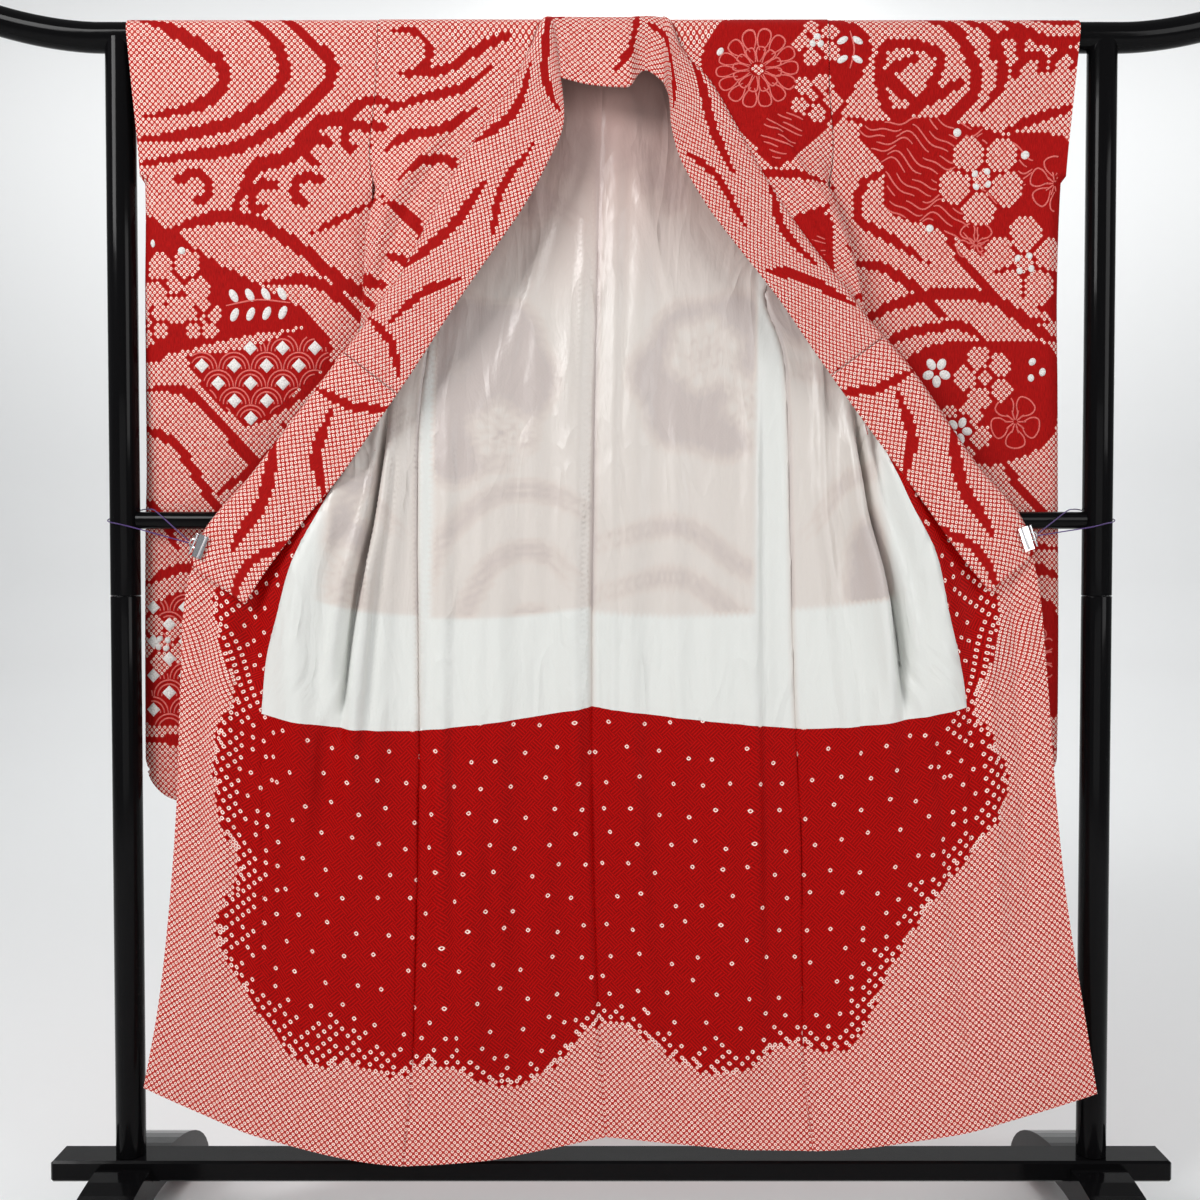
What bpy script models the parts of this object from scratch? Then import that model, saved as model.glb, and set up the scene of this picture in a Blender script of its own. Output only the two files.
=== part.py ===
"""A furisode hung open on a kimono stand, as closed solids.

Metres, +Z up, origin on the floor under the middle of the stand, the viewer at -Y.
Every cloth piece is a wall lofted through rows of sections. A row is named by the length of cloth
between it and the shoulder fold on top of the bar, so the tables give, for each row, where the
cloth's seams and edges lie, and how far it is lifted above a straight hang.
"""
import math

import bmesh
import bpy
import numpy as np
from mathutils import Vector

# Stand
BAR_RADIUS = 0.020
BAR_Z = 1.668
BAR_HALF = 0.93
BAR_END_RISE = 0.055
UPRIGHT_RADIUS = 0.020
UPRIGHT_X = 0.6755
UPRIGHT_JOINT_Z = 0.900
MID_BAR_RADIUS = 0.012
MID_BAR_Z = 1.005
BASE_SIZE = (1.558, 0.049, 0.029)
BASE_TOP = 0.115
FOOT_WIDTH = 0.076
FOOT_HALF = 0.22
FOOT_HEIGHT = 0.106
ARCH_HALF = 0.165
ARCH_HEIGHT = 0.060

# Cloth. Pieces lie GAP apart side by side, and SEAM_ROOM apart where they meet at an angle. The
# cloth's rounding over the bar is straight between its rows, so CHORD_ROOM keeps it off the bar.
CLOTH = 0.0012
LINING = 0.0010
SLEEVE_CLOTH = 0.0020
COLLAR_CLOTH = 0.0024
GAP = 0.0003
SEAM_ROOM = 0.0009
CHORD_ROOM = 0.0011
BODY_LENGTH = 1.56
ARMHOLE = 0.23
SIDE_SEAM_TOP = 0.38
OVERLAP_TOP = 0.38
SLEEVE_LENGTH = 1.095
SLEEVE_CORNER = 0.06
COLLAR_END = 0.84
OVER_COLLAR_END = 0.50
DRAPE_RADIUS = BAR_RADIUS + CHORD_ROOM + LINING + GAP + CLOTH / 2
SLEEVE_RADIUS = BAR_RADIUS + CHORD_ROOM + SLEEVE_CLOTH / 2
QUARTER_TURN = DRAPE_RADIUS * math.pi / 2

# Rows of the body, by cloth length from the shoulder fold. The lining's seam row is moved a little
# across the cloth, between its lengths at the centre, at the side seam and at the overlap seam.
BAR_ROWS = tuple(QUARTER_TURN * i / 4 for i in range(5))
ROWS = BAR_ROWS + (0.065, 0.10, 0.165, ARMHOLE, 0.265, 0.30, 0.34, SIDE_SEAM_TOP, 0.42, 0.465, 0.505,
                   0.55, 0.625, 0.70, 0.79, 0.88, 0.98, 1.11, 1.26, 1.41, BODY_LENGTH)
SEAM_ROW = ROWS.index(0.98)
SEAM_CENTRE, SEAM_SIDE, SEAM_OVERLAP = 0.965, 0.985, 1.005

# Where the columns of the back lie, as shares of its width from the centre seam: the first three
# end at the neck cut, and the others go on over the shoulder as the columns of the front.
BACK_SHARES = (0, 0.08, 0.17, 0.28, 0.37, 0.46, 0.55, 0.64, 0.73, 0.82, 0.91, 1)
NECK_COLUMNS = 3
FRONT_SHARES = (0, 0.16, 0.32, 0.47, 0.60, 0.71, 0.81, 0.91, 1)
SEAM_COLUMN = len(FRONT_SHARES) - 1
OVERLAP_COLUMNS = 3

LEFT, RIGHT = 0, 1
SIDE_NAMES = ("left", "right")

# Centre back seam: cloth length, place and lift
CENTRE = (
    # t      x       y       lift
    (0.000, -0.012, 0.0230, 0.000),
    (0.036, -0.011, 0.0230, 0.000),
    (0.100, -0.012, 0.0200, 0.000),
    (0.230, -0.016, 0.0120, 0.001),
    (0.380, -0.019, 0.0050, 0.002),
    (0.550, -0.023, -0.0050, 0.003),
    (0.700, -0.025, -0.0150, 0.005),
    (0.850, -0.027, -0.0190, 0.008),
    (1.000, -0.0265, -0.0220, 0.010),
    (1.150, -0.025, -0.0250, 0.010),
    (1.300, -0.021, -0.0280, 0.010),
    (1.450, -0.014, -0.0310, 0.010),
    (1.560, -0.007, -0.0320, 0.010),
)

# Side seams, from which the back and the front part above the seam's top
SIDE = (
    (
        # t     back_x  back_y   front_x  front_y  lift
        (0.000, -0.317, 0.0230, -0.317, -0.0230, 0.000),
        (0.036, -0.317, 0.0230, -0.317, -0.0230, 0.000),
        (0.100, -0.319, 0.0218, -0.320, -0.0200, 0.000),
        (0.230, -0.323, 0.0200, -0.327, -0.0145, 0.000),
        (0.300, -0.290, 0.0120, -0.295, -0.0130, 0.000),
        (0.380, -0.241, 0.0000, -0.241, 0.0000, 0.000),
        (0.465, -0.253, -0.0070, -0.253, -0.0070, 0.000),
        (0.550, -0.263, -0.0140, -0.263, -0.0140, 0.000),
        (0.700, -0.266, -0.0200, -0.266, -0.0200, 0.000),
        (0.880, -0.264, -0.0290, -0.264, -0.0290, -0.001),
        (1.000, -0.262, -0.0390, -0.262, -0.0390, -0.002),
        (1.150, -0.263, -0.0480, -0.263, -0.0480, -0.004),
        (1.300, -0.266, -0.0550, -0.266, -0.0550, -0.007),
        (1.450, -0.271, -0.0610, -0.271, -0.0610, -0.011),
        (1.560, -0.282, -0.0650, -0.282, -0.0650, -0.014),
    ),
    (
        (0.000, 0.295, 0.0230, 0.295, -0.0230, 0.000),
        (0.036, 0.295, 0.0230, 0.295, -0.0230, 0.000),
        (0.100, 0.295, 0.0218, 0.296, -0.0200, 0.000),
        (0.230, 0.297, 0.0200, 0.299, -0.0145, 0.000),
        (0.300, 0.263, 0.0120, 0.268, -0.0130, 0.000),
        (0.380, 0.213, 0.0000, 0.213, 0.0000, 0.000),
        (0.465, 0.236, -0.0060, 0.236, -0.0060, 0.000),
        (0.550, 0.242, -0.0100, 0.242, -0.0100, 0.000),
        (0.700, 0.245, -0.0190, 0.245, -0.0190, 0.000),
        (0.880, 0.249, -0.0260, 0.249, -0.0260, 0.000),
        (1.000, 0.253, -0.0310, 0.253, -0.0310, 0.000),
        (1.150, 0.260, -0.0350, 0.260, -0.0350, -0.001),
        (1.300, 0.261, -0.0390, 0.261, -0.0390, -0.001),
        (1.450, 0.264, -0.0420, 0.264, -0.0420, -0.002),
        (1.560, 0.276, -0.0450, 0.276, -0.0450, -0.003),
    ),
)

# Sections of the fronts: near and far are the handles of a curve from the side to the collar edge.
# Between 0.2 and 0.5 of cloth length the front turns over: above, its outer face is seen.
FRONT = (
    (
        # t     near_x  near_y   far_x   far_y    edge_x  edge_y   lift
        (0.000, -0.240, -0.0230, -0.163, -0.0230, -0.086, -0.0230, 0.000),
        (0.036, -0.248, -0.0230, -0.178, -0.0235, -0.108, -0.0245, -0.017),
        (0.100, -0.265, -0.0240, -0.200, -0.0310, -0.140, -0.0290, -0.019),
        (0.165, -0.285, -0.0215, -0.240, -0.0340, -0.177, -0.0320, -0.010),
        (0.230, -0.318, -0.0270, -0.305, -0.0385, -0.213, -0.0340, -0.002),
        (0.265, -0.330, -0.0270, -0.340, -0.0410, -0.229, -0.0350, 0.002),
        (0.300, -0.345, -0.0240, -0.358, -0.0430, -0.246, -0.0360, 0.007),
        (0.340, -0.354, -0.0120, -0.367, -0.0400, -0.266, -0.0375, 0.008),
        (0.380, -0.356, -0.0090, -0.370, -0.0280, -0.286, -0.0390, 0.009),
        (0.420, -0.352, -0.0080, -0.363, -0.0170, -0.313, -0.0400, 0.014),
        (0.465, -0.345, -0.0110, -0.355, -0.0200, -0.339, -0.0410, 0.020),
        (0.505, -0.340, -0.0130, -0.362, -0.0225, -0.364, -0.0415, 0.026),
        (0.550, -0.335, -0.0165, -0.371, -0.0230, -0.392, -0.0420, 0.032),
        (0.700, -0.340, -0.0320, -0.410, -0.0390, -0.485, -0.0450, 0.057),
        (0.800, -0.360, -0.0360, -0.455, -0.0430, -0.550, -0.0450, 0.079),
        (0.880, -0.368, -0.0410, -0.472, -0.0470, -0.576, -0.0440, 0.082),
        (1.000, -0.370, -0.0490, -0.477, -0.0520, -0.584, -0.0460, 0.082),
        (1.150, -0.372, -0.0560, -0.480, -0.0580, -0.589, -0.0480, 0.082),
        (1.300, -0.378, -0.0620, -0.490, -0.0590, -0.601, -0.0460, 0.083),
        (1.450, -0.387, -0.0670, -0.504, -0.0570, -0.620, -0.0420, 0.084),
        (1.560, -0.402, -0.0700, -0.522, -0.0540, -0.643, -0.0360, 0.080),
    ),
    (
        (0.000, 0.220, -0.0230, 0.145, -0.0230, 0.070, -0.0230, 0.000),
        (0.036, 0.228, -0.0230, 0.160, -0.0235, 0.094, -0.0245, -0.020),
        (0.100, 0.243, -0.0240, 0.189, -0.0310, 0.135, -0.0290, -0.007),
        (0.165, 0.266, -0.0215, 0.232, -0.0340, 0.169, -0.0320, -0.001),
        (0.230, 0.290, -0.0270, 0.288, -0.0385, 0.202, -0.0340, 0.004),
        (0.265, 0.305, -0.0270, 0.325, -0.0410, 0.221, -0.0350, 0.008),
        (0.300, 0.325, -0.0240, 0.346, -0.0430, 0.241, -0.0360, 0.013),
        (0.340, 0.340, -0.0120, 0.362, -0.0400, 0.265, -0.0375, 0.019),
        (0.380, 0.350, -0.0090, 0.370, -0.0280, 0.290, -0.0390, 0.026),
        (0.420, 0.350, -0.0080, 0.366, -0.0170, 0.317, -0.0400, 0.032),
        (0.465, 0.347, -0.0110, 0.359, -0.0200, 0.343, -0.0410, 0.039),
        (0.505, 0.342, -0.0130, 0.368, -0.0225, 0.370, -0.0415, 0.047),
        (0.550, 0.338, -0.0165, 0.379, -0.0230, 0.400, -0.0420, 0.056),
        (0.700, 0.325, -0.0300, 0.415, -0.0390, 0.488, -0.0450, 0.076),
        (0.800, 0.345, -0.0340, 0.450, -0.0430, 0.553, -0.0450, 0.097),
        (0.880, 0.356, -0.0380, 0.468, -0.0460, 0.577, -0.0440, 0.097),
        (1.000, 0.364, -0.0440, 0.477, -0.0510, 0.590, -0.0460, 0.093),
        (1.150, 0.372, -0.0490, 0.487, -0.0550, 0.602, -0.0480, 0.086),
        (1.300, 0.380, -0.0530, 0.500, -0.0560, 0.620, -0.0460, 0.081),
        (1.450, 0.390, -0.0560, 0.520, -0.0540, 0.647, -0.0420, 0.076),
        (1.560, 0.405, -0.0570, 0.537, -0.0520, 0.668, -0.0360, 0.072),
    ),
)

# Width of the overlap panel between its seam and the front edge
OVERLAP = (
    # t     width
    (0.380, 0.0025),
    (0.420, 0.0060),
    (0.465, 0.012),
    (0.505, 0.025),
    (0.550, 0.052),
    (0.625, 0.088),
    (0.700, 0.108),
    (0.850, 0.134),
    (1.000, 0.122),
    (1.150, 0.128),
    (1.300, 0.140),
    (1.560, 0.146),
)

# Free edge of the collar, beside the cloth length of the front edge that it is sewn to
COLLAR_FREE = (
    (
        # t      x       y        z
        (0.000, -0.072, -0.0320, 1.602),
        (0.036, -0.068, -0.0335, 1.590),
        (0.060, -0.065, -0.0350, 1.573),
        (0.100, -0.065, -0.0380, 1.535),
        (0.165, -0.088, -0.0415, 1.480),
        (0.230, -0.119, -0.0450, 1.423),
        (0.300, -0.159, -0.0480, 1.365),
        (0.380, -0.209, -0.0500, 1.293),
        (0.465, -0.266, -0.0515, 1.205),
        (0.550, -0.318, -0.0525, 1.129),
        (0.625, -0.364, -0.0535, 1.063),
        (0.700, -0.410, -0.0545, 1.007),
        (0.780, -0.467, -0.0550, 0.932),
        (0.840, -0.494, -0.0550, 0.890),
    ),
    (
        (0.000, 0.070, -0.0320, 1.595),
        (0.036, 0.077, -0.0330, 1.577),
        (0.060, 0.079, -0.0350, 1.560),
        (0.100, 0.080, -0.0380, 1.538),
        (0.165, 0.093, -0.0410, 1.489),
        (0.230, 0.126, -0.0440, 1.430),
        (0.300, 0.163, -0.0470, 1.379),
        (0.380, 0.220, -0.0500, 1.306),
        (0.465, 0.273, -0.0510, 1.229),
        (0.550, 0.326, -0.0520, 1.154),
        (0.625, 0.373, -0.0530, 1.090),
        (0.700, 0.420, -0.0540, 1.026),
        (0.780, 0.470, -0.0550, 0.955),
        (0.840, 0.509, -0.0550, 0.907),
    ),
)

# Free edge of the collar where it hangs down over the bar at the neck, with its pinched fold
NECK_FREE = (
    # seam_x   x      y        z
    (-0.060, -0.055, -0.0330, 1.597),
    (-0.035, -0.032, -0.0345, 1.591),
    (-0.010, -0.008, -0.0380, 1.587),
    (0.008, 0.010, -0.0430, 1.584),
    (0.022, 0.025, -0.0440, 1.585),
    (0.034, 0.034, -0.0340, 1.602),
    (0.047, 0.046, -0.0300, 1.612),
    (0.058, 0.058, -0.0305, 1.606),
)

# Sleeves: inner edge (sewn to the body down to the armhole's end), outer edge and two layers
SLEEVES = (
    (
        # t     inner_x outer_x front_y  back_y
        (0.000, -0.317, -0.662, -0.0221, 0.0221),
        (0.036, -0.317, -0.659, -0.0221, 0.0221),
        (0.100, -0.320, -0.654, -0.0200, 0.0220),
        (0.230, -0.327, -0.645, -0.0145, 0.0225),
        (0.380, -0.330, -0.648, -0.0060, 0.0240),
        (0.520, -0.333, -0.651, 0.0055, 0.0270),
        (0.640, -0.335, -0.654, 0.0150, 0.0315),
        (0.700, -0.336, -0.656, 0.0150, 0.0320),
        (0.850, -0.337, -0.658, 0.0150, 0.0320),
        (1.000, -0.337, -0.659, 0.0155, 0.0315),
        (1.095, -0.336, -0.659, 0.0180, 0.0285),
    ),
    (
        (0.000, 0.295, 0.639, -0.0221, 0.0221),
        (0.036, 0.295, 0.637, -0.0221, 0.0221),
        (0.100, 0.296, 0.632, -0.0200, 0.0220),
        (0.230, 0.299, 0.622, -0.0145, 0.0225),
        (0.380, 0.303, 0.620, -0.0060, 0.0240),
        (0.520, 0.306, 0.625, 0.0055, 0.0270),
        (0.640, 0.308, 0.629, 0.0150, 0.0315),
        (0.700, 0.309, 0.630, 0.0150, 0.0320),
        (0.850, 0.310, 0.632, 0.0150, 0.0320),
        (1.000, 0.310, 0.632, 0.0155, 0.0315),
        (1.095, 0.309, 0.630, 0.0180, 0.0285),
    ),
)
SLEEVE_ROWS = ROWS[:ROWS.index(ARMHOLE) + 1] + (0.32, 0.42, 0.52, 0.63, 0.74, 0.86, 0.96, 1.03, 1.07,
                                                1.09)
SLEEVE_SHARES = (0, 0.14, 0.28, 0.42, 0.56, 0.70, 0.83, 0.93, 0.985, 1)

# Soft folds: height towards the viewer, and where the fold starts and ends. Those of the back are
# placed in metres from the centre seam, and those of a front as shares of its width from the side.
BACK_FOLDS = (
    # start_t end_t start_at end_at half_width height
    (0.30, 1.30, -0.045, -0.014, 0.018, 0.0080),
    (0.10, 1.35, 0.062, 0.048, 0.018, 0.0090),
    (0.40, 1.75, -0.140, -0.160, 0.035, 0.0050),
    (0.40, 1.75, 0.165, 0.185, 0.035, 0.0050),
)
FRONT_FOLDS = (
    (
        (0.55, 1.25, 0.42, 0.20, 0.08, 0.0120),
        (0.60, 1.20, 0.62, 0.46, 0.08, 0.0080),
        (1.05, 1.75, 0.55, 0.60, 0.12, 0.0050),
    ),
    (
        (0.55, 1.15, 0.38, 0.34, 0.07, 0.0120),
        (0.58, 1.10, 0.60, 0.50, 0.07, 0.0090),
        (1.05, 1.75, 0.50, 0.56, 0.12, 0.0050),
    ),
)

# Clips that hold the front edges, and the cords that tie them to the stand
CLIP_T = (0.815, 0.822)
CLIP_LENGTH = 0.032
CLIP_JAW = 0.0008
CLIP_INNER = 0.0135
CLIP_REACH = 0.009
RING_RADIUS = 0.0058
RING_WIRE = 0.0012
CORD_RADIUS = 0.0008


def smooth_track(table):
    """A smooth curve through a table's rows, read by its first column."""
    rows = np.array(table, dtype=float)
    keys, values = rows[:, 0], rows[:, 1:]
    slopes = np.diff(values, axis=0) / np.diff(keys)[:, None]
    tangents = np.vstack([slopes[:1], (slopes[:-1] + slopes[1:]) / 2, slopes[-1:]])

    def read(key):
        at = int(np.clip(np.searchsorted(keys, key, side="right") - 1, 0, len(keys) - 2))
        span = keys[at + 1] - keys[at]
        s = min(max((key - keys[at]) / span, 0.0), 1.0)
        s2, s3 = s * s, s * s * s
        return ((2 * s3 - 3 * s2 + 1) * values[at] + (s3 - 2 * s2 + s) * span * tangents[at]
                + (3 * s2 - 2 * s3) * values[at + 1] + (s3 - s2) * span * tangents[at + 1])
    return read


def ease(value):
    s = min(max(value, 0.0), 1.0)
    return s * s * (3 - 2 * s)


def bezier(ends_and_handles, s):
    p0, p1, p2, p3 = ends_and_handles
    r = 1 - s
    return r ** 3 * p0 + 3 * r * r * s * p1 + 3 * r * s * s * p2 + s ** 3 * p3


def unit(vector):
    return vector / np.linalg.norm(vector)


def over_bar(t, depth, radius):
    """Depth and height of cloth that lies over the bar, t past its top, and then hangs."""
    quarter = radius * math.pi / 2
    if t < quarter:
        return math.copysign(radius * math.sin(t / radius), depth), BAR_Z + radius * math.cos(t / radius)
    return depth, BAR_Z - (t - quarter)


def hanging(x, depth, t, lift, radius=DRAPE_RADIUS):
    """A point of the cloth that is pulled up by its lift, along the bar's round or the hang."""
    y, z = over_bar(t - lift * min(t / QUARTER_TURN, 1), depth, radius)
    return np.array((x, y, z))


centre_track = smooth_track(CENTRE)
side_tracks = [smooth_track(table) for table in SIDE]
front_tracks = [smooth_track(table) for table in FRONT]
overlap_track = smooth_track(OVERLAP)
collar_tracks = [smooth_track(table) for table in COLLAR_FREE]
neck_track = smooth_track(NECK_FREE)
sleeve_tracks = [smooth_track(table) for table in SLEEVES]


def side_seam(side, t):
    """Where the back's and the front's side edges lie; below the top of the side seam they meet."""
    back_x, back_y, front_x, front_y, lift = side_tracks[side](t)
    if t >= SIDE_SEAM_TOP:
        front_x, front_y = back_x, back_y
    return back_x, back_y, front_x, front_y, lift


def fold_height(folds, t, place):
    """How far the soft folds lift the cloth towards the viewer."""
    total = 0.0
    for start_t, end_t, start_at, end_at, half_width, height in folds:
        along = (t - start_t) / (end_t - start_t)
        if 0 < along < 1:
            middle = start_at + (end_at - start_at) * along
            fade = ease(along / 0.25) * ease((1 - along) / 0.25)
            total += height * fade * math.exp(-((place - middle) / half_width) ** 2)
    return total


def back_point(side, share, t):
    """A point of the back's outer cloth, by its share of the width from the centre seam."""
    centre_x, centre_y, centre_lift = centre_track(t)
    back_x, back_y, _, _, side_lift = side_seam(side, t)
    bow = ease(share)
    sag = 1 - (1 - share) ** 2.5
    across = (back_x - centre_x) * share
    depth = centre_y + (back_y - centre_y) * bow - fold_height(BACK_FOLDS, t, across)
    return hanging(centre_x + across, depth, t,
                   centre_lift + (side_lift - centre_lift) * sag)


def front_point(side, share, t):
    """A point of the front, by its share of the section from the side to the collar edge."""
    near_x, near_y, far_x, far_y, edge_x, edge_y, edge_lift = front_tracks[side](t)
    _, _, side_x, side_y, side_lift = side_seam(side, t)
    flat = bezier((np.array((side_x, side_y)), np.array((near_x, near_y)),
                   np.array((far_x, far_y)), np.array((edge_x, edge_y))), share)
    depth = flat[1] - fold_height(FRONT_FOLDS[side], t, share)
    return hanging(flat[0], depth, t, side_lift + (edge_lift - side_lift) * share ** 1.5)


def edge_point(side, t):
    """A point of the front edge, on the straight line between the rows above and below it."""
    row = max(i for i, length in enumerate(ROWS[:-1]) if length <= t)
    share = (t - ROWS[row]) / (ROWS[row + 1] - ROWS[row])
    return front_point(side, 1.0, ROWS[row]) * (1 - share) + front_point(side, 1.0, ROWS[row + 1]) * share


def overlap_share(side, t):
    """Share of the front's section at which the overlap seam lies."""
    if t < OVERLAP[0][0]:
        return 1.0
    steps = [front_point(side, i / 40, t) for i in range(41)]
    lengths = [float(np.linalg.norm(b - a)) for a, b in zip(steps, steps[1:])]
    left = float(overlap_track(t)[0])
    for i in range(39, -1, -1):
        if left <= lengths[i]:
            return (i + 1 - left / lengths[i]) / 40
        left -= lengths[i]
    return 0.0


def row_length(row, share, from_centre):
    """Cloth length of a row: the lining's seam row drifts across the cloth, the others don't."""
    if row != SEAM_ROW:
        return ROWS[row]
    if from_centre:
        return SEAM_CENTRE + (SEAM_SIDE - SEAM_CENTRE) * share
    return SEAM_SIDE + (SEAM_OVERLAP - SEAM_SIDE) * share


def body_grid(side):
    """Rows from the back hem over the shoulder to the front hem; columns from side to centre."""
    count = len(BACK_SHARES) - 1
    grid = []
    for row in range(len(ROWS) - 1, 0, -1):
        shares = [BACK_SHARES[count - column] for column in range(count + 1)]
        grid.append([back_point(side, share, row_length(row, share, True)) for share in shares])
    shoulder = [back_point(side, BACK_SHARES[count - column], 0.0) for column in range(count + 1)]
    for column, share in enumerate(FRONT_SHARES):
        shoulder[column] = front_point(side, share, 0.0)
    neck = shoulder[SEAM_COLUMN]
    centre = shoulder[count]
    for step, column in enumerate(range(SEAM_COLUMN + 1, count)):
        shoulder[column] = neck + (centre - neck) * (step + 1) / NECK_COLUMNS
    grid.append(shoulder)
    for row in range(1, len(ROWS)):
        seam_share = overlap_share(side, ROWS[row])
        points = [front_point(side, seam_share * share, row_length(row, share, False))
                  for share in FRONT_SHARES]
        grid.append(points + [None] * NECK_COLUMNS)
    return grid


def overlap_grid(side):
    """The overlap panel, from its seam out to the front edge."""
    first = ROWS.index(OVERLAP_TOP)
    grid = []
    for row in range(first, len(ROWS)):
        seam_share = overlap_share(side, ROWS[row])
        length = row_length(row, 1.0, False)
        grid.append([front_point(side, seam_share + (1 - seam_share) * i / OVERLAP_COLUMNS, length)
                     for i in range(OVERLAP_COLUMNS + 1)])
    return grid


def cells(grid):
    """Quads of a grid as pairs of row and column, leaving out those with a missing corner."""
    for r in range(len(grid) - 1):
        for c in range(len(grid[0]) - 1):
            corners = ((r, c), (r, c + 1), (r + 1, c + 1), (r + 1, c))
            if all(grid[i][j] is not None for i, j in corners):
                yield corners


def shared_normals(grids, flips):
    """Outward normals at every point, the same for all panels that meet in that point.

    They are longer where the cloth bends, so that a wall keeps its thickness there.
    """
    around = {}
    for grid, flip in zip(grids, flips):
        for corners in cells(grid):
            a, b, c, d = (grid[i][j] for i, j in corners)
            for corner in ((a, b, c), (a, c, d)):
                normal = unit(np.cross(corner[1] - corner[0], corner[2] - corner[0])) * flip
                for point in corner:
                    around.setdefault(tuple(np.round(point, 5)), []).append(normal)
    mean = {}
    for key, normals in around.items():
        middle = unit(sum(normals))
        spread = sum(float(np.dot(middle, normal)) for normal in normals) / len(normals)
        mean[key] = middle / max(spread, 0.6)
    return [[[None if point is None else mean[tuple(np.round(point, 5))] for point in row]
             for row in grid] for grid in grids]


def pull(grid, at, towards, distance):
    """Moves one grid point along the cloth towards its neighbour."""
    (i, j), (k, m) = at, towards
    grid[i][j] = grid[i][j] + unit(grid[k][m] - grid[i][j]) * distance


def moved(grid, normals, distance):
    return [[None if point is None else point + normal * distance
             for point, normal in zip(points, row_normals)]
            for points, row_normals in zip(grid, normals)]


def new_object(name, mesh, material):
    thing = bpy.data.objects.new(name, mesh)
    mesh.materials.append(material)
    furisode.objects.link(thing)
    return thing


def cloth_wall(name, grid, normals, thickness, material, flip):
    """A closed wall between a grid's points moved out and in by half the thickness.

    Quads are split along the same diagonals in every wall, rims too, so that layers and seams
    run side by side.
    """
    mesh = bmesh.new()
    rows = len(grid)
    outer, inner = {}, {}
    for i in range(rows):
        for j, point in enumerate(grid[i]):
            if point is None:
                continue
            shift = normals[i][j] * thickness / 2
            outer[i, j] = mesh.verts.new(point + shift)
            inner[i, j] = mesh.verts.new(point - shift)
    edges = {}
    for corners in cells(grid):
        a, b, c, d = corners
        for corner in ((a, b, c), (a, c, d)):
            ring = corner if flip > 0 else corner[::-1]
            mesh.faces.new([outer[k] for k in ring])
            mesh.faces.new([inner[k] for k in reversed(ring)])
            for start, end in zip(ring, ring[1:] + ring[:1]):
                edges[start, end] = True
    for start, end in edges:
        if (end, start) in edges:
            continue
        if start < end:
            mesh.faces.new([outer[end], outer[start], inner[end]])
            mesh.faces.new([outer[start], inner[start], inner[end]])
        else:
            mesh.faces.new([outer[end], outer[start], inner[start]])
            mesh.faces.new([outer[end], inner[start], inner[end]])
    data = bpy.data.meshes.new(name)
    mesh.to_mesh(data)
    mesh.free()
    data.shade_smooth()
    data.set_sharp_from_angle(angle=math.radians(50))
    return new_object(name, data, material)


def principled(name, colour, roughness, metallic=0.0):
    material = bpy.data.materials.new(name)
    material.use_nodes = True
    shader = material.node_tree.nodes["Principled BSDF"]
    shader.inputs["Base Color"].default_value = (*colour, 1)
    shader.inputs["Roughness"].default_value = roughness
    shader.inputs["Metallic"].default_value = metallic
    material.diffuse_color = (*colour, 1)
    return material


def build_body():
    """Outer cloth and lining of the two body panels and the two overlap panels."""
    bodies = [body_grid(side) for side in (LEFT, RIGHT)]
    overlaps = [overlap_grid(side) for side in (LEFT, RIGHT)]
    flips = (-1, 1, -1, 1)
    normals = shared_normals(bodies + overlaps, flips)
    last = len(ROWS) - 1
    for side, body, overlap in zip((LEFT, RIGHT), bodies, overlaps):
        for r, t in enumerate([-t for t in reversed(ROWS)] + list(ROWS[1:])):
            if abs(t) >= SIDE_SEAM_TOP:
                pull(body, (r, 0), (r, 1), GAP / 2)
            if r <= last:
                pull(body, (r, len(BACK_SHARES) - 1), (r, len(BACK_SHARES) - 2), GAP / 2)
            if t >= OVERLAP_TOP:
                pull(body, (r, SEAM_COLUMN), (r, SEAM_COLUMN - 1), GAP / 2)
        for r in range(len(overlap)):
            pull(overlap, (r, 0), (r, 1), GAP / 2)
        word = SIDE_NAMES[side]
        flip = flips[side]
        body_normals, overlap_normals = normals[side], normals[2 + side]
        cloth_wall("body_" + word, body, body_normals, CLOTH, kanoko, flip)
        cloth_wall("overlap_" + word, overlap, overlap_normals, CLOTH, kanoko, flip)
        inward = -(CLOTH / 2 + GAP + LINING / 2)
        lining = moved(body, body_normals, inward)
        cloth_wall("overlap_lining_" + word, moved(overlap, overlap_normals, inward),
                   overlap_normals, LINING, hem_red, flip)
        back_seam = last - SEAM_ROW
        front_seam = last + SEAM_ROW
        pieces = (("hem_lining_back_", 0, back_seam, hem_red),
                  ("body_lining_", back_seam, front_seam, white_silk),
                  ("hem_lining_front_", front_seam, 2 * last, hem_red))
        for name, first, final, material in pieces:
            grid = [list(row) for row in lining[first:final + 1]]
            for c in range(len(grid[0])):
                for r, towards in ((0, 1), (final - first, final - first - 1)):
                    if first + r in (back_seam, front_seam) and grid[r][c] is not None:
                        pull(grid, (r, c), (towards, c), GAP / 2)
            cloth_wall(name + word, grid, body_normals[first:final + 1], LINING, material, flip)


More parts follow.
